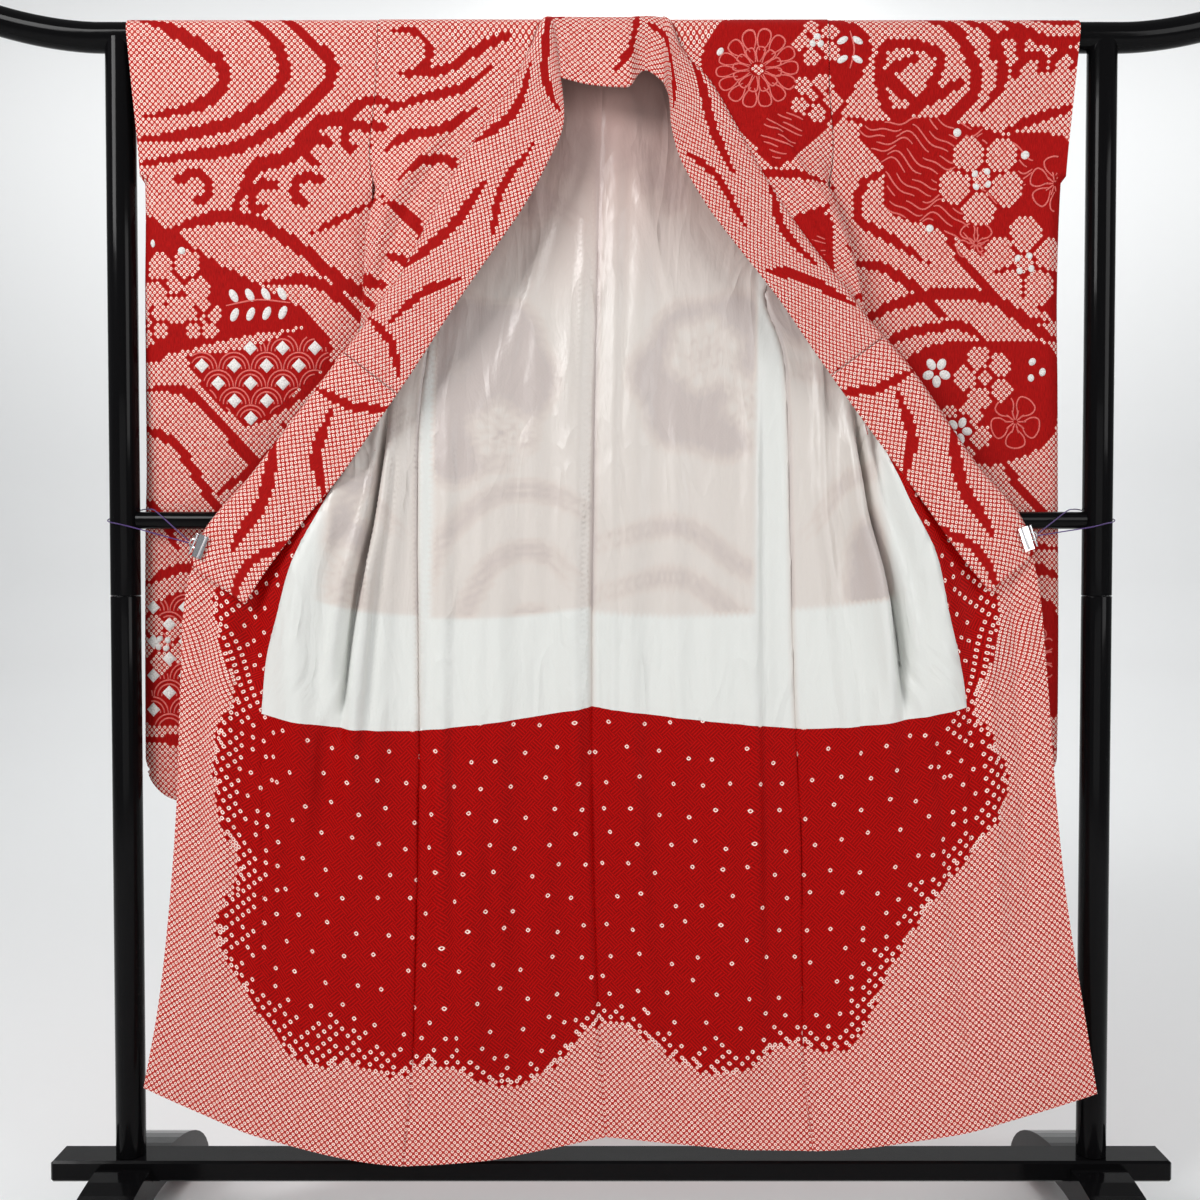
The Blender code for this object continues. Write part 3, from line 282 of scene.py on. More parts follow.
# Sleeves: inner edge (sewn to the body down to the armhole's end), outer edge and two layers
SLEEVES = (
    (
        # t     inner_x outer_x front_y  back_y
        (0.000, -0.317, -0.662, -0.0221, 0.0221),
        (0.036, -0.317, -0.659, -0.0221, 0.0221),
        (0.100, -0.320, -0.654, -0.0200, 0.0220),
        (0.230, -0.327, -0.645, -0.0145, 0.0225),
        (0.380, -0.330, -0.648, -0.0060, 0.0240),
        (0.520, -0.333, -0.651, 0.0055, 0.0270),
        (0.640, -0.335, -0.654, 0.0150, 0.0315),
        (0.700, -0.336, -0.656, 0.0150, 0.0320),
        (0.850, -0.337, -0.658, 0.0150, 0.0320),
        (1.000, -0.337, -0.659, 0.0155, 0.0315),
        (1.095, -0.336, -0.659, 0.0180, 0.0285),
    ),
    (
        (0.000, 0.295, 0.639, -0.0221, 0.0221),
        (0.036, 0.295, 0.637, -0.0221, 0.0221),
        (0.100, 0.296, 0.632, -0.0200, 0.0220),
        (0.230, 0.299, 0.622, -0.0145, 0.0225),
        (0.380, 0.303, 0.620, -0.0060, 0.0240),
        (0.520, 0.306, 0.625, 0.0055, 0.0270),
        (0.640, 0.308, 0.629, 0.0150, 0.0315),
        (0.700, 0.309, 0.630, 0.0150, 0.0320),
        (0.850, 0.310, 0.632, 0.0150, 0.0320),
        (1.000, 0.310, 0.632, 0.0155, 0.0315),
        (1.095, 0.309, 0.630, 0.0180, 0.0285),
    ),
)

# Soft folds: height towards the viewer, and where the fold starts and ends. Those of the back are
# placed in metres from the centre seam, and those of a front as shares of its width from the side.
BACK_FOLDS = (
    # start_t end_t start_at end_at half_width height
    (0.30, 1.30, -0.045, -0.014, 0.018, 0.0080),
    (0.10, 1.35, 0.062, 0.048, 0.018, 0.0090),
    (0.40, 1.75, -0.140, -0.160, 0.035, 0.0050),
    (0.40, 1.75, 0.165, 0.185, 0.035, 0.0050),
)
FRONT_FOLDS = (
    (
        (0.55, 1.25, 0.42, 0.20, 0.08, 0.0120),
        (0.60, 1.20, 0.62, 0.46, 0.08, 0.0080),
        (1.05, 1.75, 0.55, 0.60, 0.12, 0.0050),
    ),
    (
        (0.55, 1.15, 0.38, 0.34, 0.07, 0.0120),
        (0.58, 1.10, 0.60, 0.50, 0.07, 0.0090),
        (1.05, 1.75, 0.50, 0.56, 0.12, 0.0050),
    ),
)
# Smaller creases that only the looks have, in the same words
BACK_CREASES = (
    # start_t end_t start_at end_at half_width height
    (0.04, 1.20, 0.024, 0.030, 0.010, 0.0065),
    (0.16, 1.30, -0.018, -0.027, 0.008, 0.0060),
    (0.45, 1.25, 0.110, 0.128, 0.014, 0.0045),
    (0.15, 0.90, -0.090, -0.075, 0.014, 0.0045),
    (0.60, 1.45, -0.120, -0.130, 0.012, 0.0040),
    (0.38, 1.50, 0.214, 0.222, 0.011, 0.0075),
    (0.38, 1.50, -0.200, -0.212, 0.011, 0.0070),
    (1.00, 1.56, 0.060, 0.075, 0.014, 0.0035),
    (1.00, 1.56, -0.060, -0.075, 0.014, 0.0035),
    (1.00, 1.56, 0.165, 0.180, 0.014, 0.0035),
    (1.05, 1.56, -0.170, -0.180, 0.012, 0.0035),
)
FRONT_CREASES = (
    (
        (0.50, 1.04, 0.22, 0.33, 0.022, -0.0250),
        (0.50, 1.04, 0.17, 0.28, 0.030, 0.0140),
        (0.50, 1.02, 0.275, 0.395, 0.020, 0.0090),
        (0.10, 0.52, 0.70, 0.80, 0.050, 0.0070),
        (0.14, 0.54, 0.86, 0.90, 0.030, -0.0045),
        (0.02, 0.75, 0.975, 0.975, 0.014, -0.0022),
        (0.45, 1.12, 0.09, 0.19, 0.040, 0.0080),
        (0.56, 1.20, 0.50, 0.50, 0.085, 0.0150),
        (0.60, 1.02, 0.74, 0.70, 0.045, -0.0070),
        (0.95, 1.56, 0.30, 0.34, 0.050, 0.0040),
        (0.78, 1.50, 0.82, 0.78, 0.040, 0.0070),
        (0.82, 1.30, 0.91, 0.89, 0.025, -0.0050),
        (0.90, 1.56, 0.52, 0.55, 0.035, -0.0050),
    ),
    (
        (0.52, 1.02, 0.40, 0.44, 0.022, -0.0250),
        (0.52, 1.02, 0.35, 0.39, 0.030, 0.0140),
        (0.50, 1.00, 0.455, 0.500, 0.020, 0.0090),
        (0.10, 0.50, 0.68, 0.78, 0.050, 0.0070),
        (0.14, 0.54, 0.86, 0.90, 0.030, -0.0045),
        (0.02, 0.75, 0.975, 0.975, 0.014, -0.0022),
        (0.42, 1.12, 0.16, 0.22, 0.032, 0.0090),
        (0.55, 1.10, 0.62, 0.60, 0.070, 0.0130),
        (0.58, 0.98, 0.80, 0.76, 0.040, -0.0060),
        (0.95, 1.56, 0.34, 0.40, 0.050, 0.0040),
        (0.78, 1.45, 0.78, 0.72, 0.040, 0.0075),
        (0.80, 1.35, 0.90, 0.86, 0.025, -0.0055),
        (0.92, 1.56, 0.55, 0.60, 0.035, -0.0055),
    ),
)
# Where the linings hang a little loose of the outer cloth, by X and signed T
LINING_CREASES = (
    (
        # start_t end_t start_x end_x half_width height
        (-0.12, -1.30, 0.020, 0.017, 0.0035, 0.0024),
        (-0.34, -1.06, 0.0075, 0.0085, 0.0045, 0.0042),
        (-0.30, -1.10, 0.034, 0.040, 0.0060, 0.0022),
        (-0.24, -0.52, 0.050, 0.135, 0.0080, 0.0030),
        (-0.18, -0.36, 0.030, 0.090, 0.0060, 0.0022),
        (-0.34, -0.60, 0.080, 0.170, 0.0070, 0.0022),
        (-0.50, -1.30, 0.150, 0.158, 0.0060, 0.0020),
        (-0.40, -1.30, 0.195, 0.205, 0.0050, 0.0032),
        (-0.55, -1.45, 0.232, 0.240, 0.0060, 0.0028),
        (-1.00, -1.52, 0.070, 0.090, 0.0120, 0.0022),
        (-1.02, -1.50, 0.150, 0.165, 0.0100, 0.0022),
        (-1.02, -1.56, 0.009, 0.009, 0.0060, 0.0050),
        (-1.00, -1.50, 0.205, 0.185, 0.0300, 0.0060),
        (0.55, 1.15, 0.250, 0.205, 0.0070, 0.0036),
        (0.62, 1.20, 0.175, 0.150, 0.0080, 0.0030),
        (0.58, 0.84, 0.130, 0.120, 0.0060, 0.0024),
    ),
    (
        (-0.10, -1.35, 0.014, 0.018, 0.0035, 0.0034),
        (-0.14, -1.25, 0.024, 0.031, 0.0040, 0.0030),
        (-0.35, -0.90, 0.046, 0.041, 0.0050, 0.0020),
        (-0.20, -0.44, 0.040, 0.120, 0.0070, 0.0024),
        (-0.45, -1.30, 0.110, 0.124, 0.0070, 0.0020),
        (-0.60, -1.35, 0.165, 0.158, 0.0060, 0.0022),
        (-0.30, -1.30, 0.222, 0.228, 0.0050, 0.0034),
        (-0.55, -1.45, 0.240, 0.246, 0.0050, 0.0026),
        (-1.00, -1.50, 0.060, 0.075, 0.0110, 0.0022),
        (-1.02, -1.52, 0.140, 0.150, 0.0100, 0.0022),
        (-1.00, -1.54, 0.190, 0.205, 0.0280, 0.0055),
        (0.46, 1.25, 0.225, 0.220, 0.0060, 0.0034),
        (0.60, 0.90, 0.200, 0.150, 0.0070, 0.0036),
        (0.62, 1.15, 0.130, 0.120, 0.0070, 0.0028),
    ),
)
SLEEVE_CREASES = (
    (0.45, 1.05, 0.10, 0.14, 0.020, 0.0012),
    (0.50, 1.05, 0.24, 0.20, 0.020, 0.0012),
)


def smooth_track(table):
    """A smooth curve through a table's rows, read by its first column at one key or many."""
    rows = np.array(table, dtype=float)
    keys, values = rows[:, 0], rows[:, 1:]
    slopes = np.diff(values, axis=0) / np.diff(keys)[:, None]
    tangents = np.vstack([slopes[:1], (slopes[:-1] + slopes[1:]) / 2, slopes[-1:]])

    def read(key):
        key = np.asarray(key, dtype=float)
        at = np.clip(np.searchsorted(keys, key, side="right") - 1, 0, len(keys) - 2)
        span = (keys[at + 1] - keys[at])[..., None]
        s = np.clip((key - keys[at])[..., None] / span, 0, 1)
        s2, s3 = s * s, s * s * s
        return ((2 * s3 - 3 * s2 + 1) * values[at] + (s3 - 2 * s2 + s) * span * tangents[at]
                + (3 * s2 - 2 * s3) * values[at + 1] + (s3 - s2) * span * tangents[at + 1])
    return read


def ease(value):
    s = np.clip(value, 0, 1)
    return s * s * (3 - 2 * s)


def stack(*parts):
    return np.stack(np.broadcast_arrays(*parts), axis=-1)


def unit(vectors):
    return vectors / np.maximum(np.linalg.norm(vectors, axis=-1, keepdims=True), 1e-12)


def bezier(p0, p1, p2, p3, s):
    r = 1 - s
    return r ** 3 * p0 + 3 * r * r * s * p1 + 3 * r * s * s * p2 + s ** 3 * p3


def hanging(x, depth, t, lift, radius=DRAPE_RADIUS):
    """A point of the cloth that is pulled up by its lift, along the bar's round or the hang."""
    t = t - lift * np.minimum(t / QUARTER_TURN, 1)
    quarter = radius * math.pi / 2
    on_bar = t < quarter
    y = np.where(on_bar, np.copysign(radius * np.sin(t / radius), depth), depth)
    z = np.where(on_bar, BAR_Z + radius * np.cos(t / radius), BAR_Z - (t - quarter))
    return stack(x, y, z)


centre_track = smooth_track(CENTRE)
side_tracks = [smooth_track(table) for table in SIDE]
front_tracks = [smooth_track(table) for table in FRONT]
overlap_track = smooth_track(OVERLAP)
collar_tracks = [smooth_track(table) for table in COLLAR_FREE]
neck_track = smooth_track(NECK_FREE)
sleeve_tracks = [smooth_track(table) for table in SLEEVES]


def side_seam(side, t):
    """Where the back's and the front's side edges lie; below the top of the side seam they meet."""
    back_x, back_y, front_x, front_y, lift = np.moveaxis(side_tracks[side](t), -1, 0)
    sewn = t >= SIDE_SEAM_TOP
    return back_x, back_y, np.where(sewn, back_x, front_x), np.where(sewn, back_y, front_y), lift


def fold_height(folds, t, place):
    """How far the soft folds lift the cloth towards the viewer."""
    total = 0.0
    for start_t, end_t, start_at, end_at, half_width, height in folds:
        along = (t - start_t) / (end_t - start_t)
        middle = start_at + (end_at - start_at) * along
        fade = ease(along / 0.25) * ease((1 - along) / 0.25)
        total = total + height * fade * np.exp(-((place - middle) / half_width) ** 2)
    return total


def back_point(side, share, t):
    """A point of the back's outer cloth, by its share of the width from the centre seam."""
    centre_x, centre_y, centre_lift = np.moveaxis(centre_track(t), -1, 0)
    back_x, back_y, _, _, side_lift = side_seam(side, t)
    bow = ease(share)
    sag = 1 - (1 - share) ** 2.5
    across = (back_x - centre_x) * share
    depth = centre_y + (back_y - centre_y) * bow - fold_height(BACK_FOLDS, t, across)
    depth = depth - fold_height(BACK_CREASES, t, across) * ease(share / 0.03) * ease((1 - share) / 0.06)
    return hanging(centre_x + across, depth, t, centre_lift + (side_lift - centre_lift) * sag)


def front_point(side, share, t):
    """A point of the front, by its share of the section from the side to the collar edge."""
    near_x, near_y, far_x, far_y, edge_x, edge_y, edge_lift = np.moveaxis(front_tracks[side](t), -1, 0)
    _, _, side_x, side_y, side_lift = side_seam(side, t)
    flat = bezier(stack(side_x, side_y), stack(near_x, near_y), stack(far_x, far_y),
                  stack(edge_x, edge_y), np.asarray(share)[..., None])
    depth = flat[..., 1] - fold_height(FRONT_FOLDS[side], t, share)
    depth = depth - fold_height(FRONT_CREASES[side], t, share)
    return hanging(flat[..., 0], depth, t, side_lift + (edge_lift - side_lift) * share ** 1.5)


# Widths of the fronts by cloth length, and the share at which each part of the width is reached
FRONT_STEP = 0.005
FRONT_T = np.arange(0, BODY_LENGTH + FRONT_STEP, FRONT_STEP)
FRONT_SHARES = np.linspace(0, 1, 121)


def measure_front(side):
    points = front_point(side, FRONT_SHARES[None, :], np.minimum(FRONT_T, BODY_LENGTH)[:, None])
    steps = np.linalg.norm(np.diff(points, axis=1), axis=-1)
    along = np.concatenate([np.zeros((len(FRONT_T), 1)), np.cumsum(steps, axis=1)], axis=1)
    width = along[:, -1]
    parts = np.linspace(0, 1, 81)
    shares = np.array([np.interp(parts * w, row, FRONT_SHARES) for row, w in zip(along, width)])
    overlap = np.where(FRONT_T < OVERLAP_TOP, 0.0, overlap_track(FRONT_T)[:, 0])
    return width, shares, np.maximum(width - overlap, 0.01)


front_measures = [measure_front(side) for side in (LEFT, RIGHT)]


def front_width(side, t):
    return np.interp(t, FRONT_T, front_measures[side][0])


def seam_width(side, t):
    """Width of the front from the side seam to the overlap seam, or to its edge above that."""
    return np.interp(t, FRONT_T, front_measures[side][2])


def front_at(side, along, t):
    """A point of the front, by the length of cloth from the side seam."""
    part = np.clip(along / front_width(side, t), 0, 1) * 80
    row = np.clip(t / FRONT_STEP, 0, len(FRONT_T) - 1.001)
    i, j = row.astype(int), np.minimum(part.astype(int), 79)
    a, b = row - i, part - j
    shares = front_measures[side][1]
    share = ((shares[i, j] * (1 - b) + shares[i, j + 1] * b) * (1 - a)
             + (shares[i + 1, j] * (1 - b) + shares[i + 1, j + 1] * b) * a)
    return front_point(side, share, t)


def back_width(side, t):
    back_x, _, _, _, _ = side_seam(side, t)
    return np.abs(back_x - centre_track(t)[..., 0])


SHOULDER = [float(back_width(side, np.array(0.0))) for side in (LEFT, RIGHT)]


# The fronts' knots stand upright beside the collar, though the side edge turns away under the fold
DRIFT_END = 0.44


def measure_drift(side):
    edge = front_point(side, np.ones(len(FRONT_T)), FRONT_T)[:, 0]
    gain = np.abs(edge - CENTRE[0][1]) - (SHOULDER[side] - front_measures[side][0])
    return gain - gain[0]


drifts = [measure_drift(side) for side in (LEFT, RIGHT)]


def drift(side, t):
    """How far a place of the outer cloth's weave lies beyond its X."""
    return np.interp(np.clip(t, 0, DRIFT_END), FRONT_T, drifts[side])


def body_point(side, x, t):
    """A point of a body panel or its overlap by X and T."""
    back = back_point(side, np.clip(x / back_width(side, -t), 0, 1), np.abs(t))
    front = front_at(side, SHOULDER[side] - x, np.clip(t, 0, BODY_LENGTH))
    return np.where((t <= 0)[..., None], back, front)


def collar_section(seam, free, away, neck, fractions):
    """Across the collar from its seam to its free edge, as a curve read at many fractions."""
    forward = np.array((0, -1.0, 0))
    across = unit((free - seam) * np.array((1, 0, 1)))
    folded = (1 - float(np.dot(away, across))) / 2
    start = seam + away * (SEAM_ROOM + 0.0022 * folded + 0.0010 * neck)
    side_handle = start + unit(away + across + forward * 0.6) * 0.012
    roll_handle = start + forward * 0.026 + np.array((0, 0, 0.004))
    near = side_handle * (1 - neck) + roll_handle * neck
    over = free + (seam - free) * 0.35 + forward * 0.002
    down = free + np.array((0, 0.004, 0.062))
    far = over * (1 - neck) + down * neck
    return bezier(start, near, far, free, fractions[:, None])


FRACTIONS = np.linspace(0, 1, 41)


def even_section(points, count=29):
    """The same curve through points that are evenly spaced along it, and its width."""
    steps = np.concatenate([[0], np.cumsum(np.linalg.norm(np.diff(points, axis=0), axis=1))])
    even = np.linspace(0, steps[-1], count)
    return np.stack([np.interp(even, steps, points[:, k]) for k in range(3)], axis=1), steps[-1]


def collar_rows(side, first, final):
    rows = []
    for t in np.linspace(first, final, max(2, int((final - first) / PITCH))):
        t = float(t)
        seam = front_point(side, np.array(1.0), np.array(t))
        below = front_point(side, np.array(1.0), np.array(t + 0.003))
        above = front_point(side, np.array(1.0), np.array(max(t - 0.003, 0)))
        along = unit(below - above)
        ahead = seam - front_point(side, np.array(0.97), np.array(t))
        away = unit(ahead - along * np.dot(ahead, along))
        free = collar_tracks[side](t)
        rows.append(even_section(collar_section(seam, free, away, 1 - float(ease(t / 0.09)), FRACTIONS)))
    return rows


def neck_rows():
    rows = []
    for seam_x in np.linspace(NECK_FREE[0][0], NECK_FREE[-1][0], 31):
        seam = hanging(seam_x, -DRAPE_RADIUS, np.array(0.0), 0.0)
        rows.append(even_section(collar_section(seam, neck_track(seam_x), np.array((0, -1.0, 0)), 1.0,
                                                FRACTIONS)))
    return rows


class Strip:
    """A long band read by length along it and the fraction across it."""

    def __init__(self, rows):
        self.points = np.array([row[0] for row in rows])
        self.widths = np.array([row[1] for row in rows])
        middle = self.points[:, self.points.shape[1] // 2]
        steps = np.linalg.norm(np.diff(middle, axis=0), axis=1)
        self.along = np.concatenate([[0], np.cumsum(steps)])
        self.length = self.along[-1]
        self.width = float(self.widths.max())

    def read(self, across, along):
        row = np.interp(along, self.along, np.arange(len(self.along)))
        row = np.clip(row, 0, len(self.along) - 1.001)
        column = np.clip(across / self.width, 0, 1) * (self.points.shape[1] - 1)
        column = np.minimum(column, self.points.shape[1] - 1.001)
        i, j = row.astype(int), column.astype(int)
        a, b = (row - i)[..., None], (column - j)[..., None]
        p = self.points
        return ((p[i, j] * (1 - b) + p[i, j + 1] * b) * (1 - a)
                + (p[i + 1, j] * (1 - b) + p[i + 1, j + 1] * b) * a)


def sleeve_foot(inside):
    """Cloth length of the sleeve at its foot, rounded towards the outer corner."""
    near = np.minimum(inside, SLEEVE_CORNER)
    return SLEEVE_LENGTH - SLEEVE_CORNER + np.sqrt(SLEEVE_CORNER ** 2 - (SLEEVE_CORNER - near) ** 2)


def sleeve_point(side, x, t):
    """A point of a sleeve by X from its armhole edge and signed T."""
    length = np.abs(t)
    inner_x, outer_x, front_y, back_y = np.moveaxis(sleeve_tracks[side](length), -1, 0)
    share = np.clip(x / SLEEVE_WIDTH, 0, 1)
    foot = np.maximum(sleeve_foot(SLEEVE_WIDTH - x) - length, 0)
    cuff = np.where(length > ARMHOLE, SLEEVE_WIDTH - x, 1.0)
    sewn = np.minimum(foot, cuff)
    spread = np.sqrt(np.clip(sewn / 0.02, 0, 1))
    middle = (front_y + back_y) / 2
    depth = np.where(t > 0, front_y, back_y)
    depth = middle + (depth - middle) * spread
    wave = 0.0015 * np.sin(9 * share + 2 * side) * ease((length - 0.7) / 0.2) * (1 - share ** 4)
    wave = wave - fold_height(SLEEVE_CREASES, length, x)
    back_x, _, front_x, _, _ = side_seam(side, length)
    way = 1 if side else -1
    sewn_x = np.where(t > 0, front_x, back_x) + way * SEAM_ROOM
    inner_x = np.where(length <= ARMHOLE, sewn_x, inner_x)
    return hanging(inner_x + (outer_x - inner_x) * share, depth + wave, length, 0.0, SLEEVE_RADIUS)


def lattice(low, high, clamp):
    """Corners and faces of small diamonds over a rectangle of cloth, trimmed to an outline.

    Clamp moves corners onto the outline. Returns the corners' X and T, the faces, and the X and T
    of each diamond's middle.
    """
    i0, i1 = int(np.floor(low[0] / PITCH)) - 2, int(np.ceil(high[0] / PITCH)) + 2
    j0, j1 = int(np.floor(low[1] / PITCH)) - 2, int(np.ceil(high[1] / PITCH)) + 2
    i, j = np.meshgrid(np.arange(i0, i1 + 1), np.arange(j0, j1 + 1), indexing="ij")
    x, t = i * PITCH, j * PITCH
    near_x, near_t = clamp(x, t)
    shift = np.hypot(near_x - x, near_t - t)
    inner = ((i + j) % 2 == 0)[1:-1, 1:-1]
    a, b = np.nonzero(inner)
    a, b = a + 1, b + 1
    corners = np.stack([(a + 1) * i.shape[1] + b, a * i.shape[1] + b + 1,
                        (a - 1) * i.shape[1] + b, a * i.shape[1] + b - 1], axis=1)
    fx, ft, fs = near_x.ravel()[corners], near_t.ravel()[corners], shift.ravel()[corners]
    area = 0.5 * np.abs((fx[:, 0] - fx[:, 2]) * (ft[:, 1] - ft[:, 3])
                        - (fx[:, 1] - fx[:, 3]) * (ft[:, 0] - ft[:, 2]))
    keep = (area > 0.0015 * PITCH * PITCH) & (fs.max(axis=1) < 2.1 * PITCH)
    corners = corners[keep]
    used, faces = np.unique(corners, return_inverse=True)
    faces = faces.reshape(corners.shape)
    middles = ((a[keep] + i0) * PITCH, (b[keep] + j0) * PITCH)
    return near_x.ravel()[used], near_t.ravel()[used], faces, middles


def uv_strips(x, t, faces):
    """A map of a long panel, cut into strips side by side so that it fills a square."""
    low, high = np.array([x.min(), t.min()]), np.array([x.max(), t.max()])
    width, length = high - low
    count = max(1, int(round(math.sqrt(length / width))))
    step = length / count + 1e-9
    middle = t[faces].mean(axis=1)
    strip = np.clip(((middle - low[1]) / step).astype(int), 0, count - 1)
    room = 0.012
    u = x[faces] - low[0] + (strip * (width + room))[:, None] + room
    v = t[faces] - low[1] - (strip * step)[:, None] + room
    scale = 1 / max(count * (width + room) + room, step + 2 * room)
    return np.stack([u * scale, v * scale], axis=-1)


furisode = bpy.data.collections.new("furisode")
scene.collection.children.link(furisode)


def linked(name, mesh):
    thing = bpy.data.objects.new(name, mesh)
    furisode.objects.link(thing)
    return thing


def placed_mesh(name, x, t, points, faces):
    """A mesh whose corners know their X and T on the cloth, and its empty map."""
    mesh = bpy.data.meshes.new(name)
    mesh.from_pydata(points.tolist(), [], faces)
    cloth = mesh.attributes.new("cloth", "FLOAT_VECTOR", "POINT")
    cloth.data.foreach_set("vector", np.stack([x, t, x * 0], axis=1).ravel())
    return mesh, mesh.uv_layers.new(name="cloth_map")


def cloth_mesh(name, x, t, points, faces, flip, tone, show_and_shade=None):
    """A piece made of diamonds, with its map and the dye of each diamond."""
    order = faces[:, ::-1] if flip else faces
    mesh, layer = placed_mesh(name, x, t, points, order.tolist())
    dye = mesh.attributes.new("dye", "FLOAT", "FACE")
    dye.data.foreach_set("value", tone.astype(float))
    # How much pink shows through, with the painted shade near the neck and seams
    if show_and_shade is not None:
        through = mesh.attributes.new("show_and_shade", "FLOAT", "POINT")
        through.data.foreach_set("value", show_and_shade.astype(float))
    layer.data.foreach_set("uv", uv_strips(x, t, order).ravel())
    mesh.shade_smooth()
    mesh.validate()
    return linked(name, mesh)


# Dyed design. A shape takes X and T of the diamonds and says which of them it covers, and fine work is
# lines of X and T, and tufts by their middle, reach, half width and turn.
def smooth_line(points, count=12, closed=False):
    """A soft curve through a few points, as many short pieces."""
    p = np.array(points, dtype=float)
    if closed:
        p = np.vstack([p[-1], p, p[0], p[1]])
    else:
        p = np.vstack([2 * p[0] - p[1], p, 2 * p[-1] - p[-2]])
    line = []
    for k in range(1, len(p) - 2):
        a, b, c, d = p[k - 1], p[k], p[k + 1], p[k + 2]
        for s in np.linspace(0, 1, count, endpoint=False):
            line.append(0.5 * (2 * b + (c - a) * s + (2 * a - 5 * b + 4 * c - d) * s ** 2
                               + (3 * b - a - 3 * c + d) * s ** 3))
    line.append(p[-2])
    return np.array(line)


def along_line(x, t, line):
    """Distance of each diamond from a line, and how far along the line it lies."""
    nearest, place = np.full(x.shape, 1e9), np.zeros(x.shape)
    total = len(line) - 1
    for k in range(total):
        a, step = line[k], line[k + 1] - line[k]
        s = np.clip(((x - a[0]) * step[0] + (t - a[1]) * step[1]) / max(step @ step, 1e-12), 0, 1)
        away = np.hypot(x - a[0] - step[0] * s, t - a[1] - step[1] * s)
        closer = away < nearest
        nearest, place = np.where(closer, away, nearest), np.where(closer, (k + s) / total, place)
    return nearest, place


def close_to(x, t, line, room):
    """True inside the rectangle round a line."""
    return ((x > line[:, 0].min() - room) & (x < line[:, 0].max() + room)
            & (t > line[:, 1].min() - room) & (t < line[:, 1].max() + room))


def stroke(x, t, points, width, ends=(0.25, 0.25)):
    """Diamonds within a curved stroke that narrows to its ends."""
    line = smooth_line(points)
    inside = close_to(x, t, line, width)
    covered = np.zeros(x.shape, dtype=bool)
    if inside.any():
        nearest, place = along_line(x[inside], t[inside], line)
        swell = np.minimum(1, np.minimum(ends[0] + 3 * place, ends[1] + 3 * (1 - place)))
        covered[inside] = nearest < width / 2 * swell
    return covered


def polar(centre, away, angle):
    return centre[0] + away * math.cos(angle), centre[1] + away * math.sin(angle)


def hook(centre, size, start, turns):
    """Points of a crest that rolls in on itself; turns may be negative to roll the other way."""
    angles = start + np.linspace(0, turns, 7) * 2 * math.pi
    radii = size * np.linspace(1, 0.35, 7)
    return [polar(centre, r, a) for r, a in zip(radii, angles)]


def patch(x, t, outline):
    """Diamonds inside a soft closed outline through a few points."""
    line = smooth_line(outline, 6, True)
    covered = np.zeros(x.shape, dtype=bool)
    near = close_to(x, t, line, 0.0)
    x, t = x[near], t[near]
    inside = np.zeros(x.shape, dtype=bool)
    for (x0, t0), (x1, t1) in zip(line[:-1], line[1:]):
        crosses = (t0 > t) != (t1 > t)
        at = x0 + (x1 - x0) * (t - t0) / (t1 - t0 if t1 != t0 else 1e-9)
        inside ^= crosses & (x < at)
    covered[near] = inside
    return covered


def round_outline(centre, reach, turn=0.0, lobes=0, depth=0.0):
    """Points round a place, stretched and turned, with a lobed edge if wanted."""
    points = []
    for a in np.linspace(0, 2 * math.pi, 36, endpoint=False):
        r = 1 - depth + depth * abs(math.cos(lobes * a / 2))
        u, v = reach[0] * r * math.cos(a), reach[1] * r * math.sin(a)
        points.append((centre[0] + u * math.cos(turn) - v * math.sin(turn),
                       centre[1] + u * math.sin(turn) + v * math.cos(turn)))
    return points


def blossom(x, t, centre, radius, petals, turn=0.0):
    """A tied flower: its petals, and the untied lines between them."""
    angles = turn + np.arange(petals) * 2 * math.pi / petals
    middles = [(centre[0], centre[1], 0.26 * radius)]
    middles += [(*polar(centre, 0.62 * radius, a), 0.40 * radius) for a in angles]
    away = np.array([np.hypot(x - mx, t - mt) - size for mx, mt, size in middles])
    away.sort(axis=0)
    whole = away[0] < 0
    return whole, whole & (away[1] - away[0] < 0.0042)


def petal_lines(centre, inner, outer, count, turn=0.0, fullness=0.9):
    """Thin outlines of a round of petals."""
    widest = inner + 0.55 * (outer - inner)
    half = math.pi / count * fullness
    shape = ((inner, -0.45), (widest, -1.0), (outer * 0.97, -0.72), (outer * 1.02, 0.0),
             (outer * 0.97, 0.72), (widest, 1.0), (inner, 0.45))
    middles = [turn + 2 * math.pi * k / count for k in range(count)]
    return [[polar(centre, r, middle + half * w) for r, w in shape] for middle in middles]


def stretches(line, seen, least):
    """The stretches of a line that are seen, where they have more points than the least."""
    found, start = [], None
    for k in range(len(line) + 1):
        if k < len(line) and seen[k]:
            start = k if start is None else start
        elif start is not None:
            if k - start > least:
                found.append(line[start:k].tolist())
            start = None
    return found


HEART_REACH = (0.0105, 0.0100)


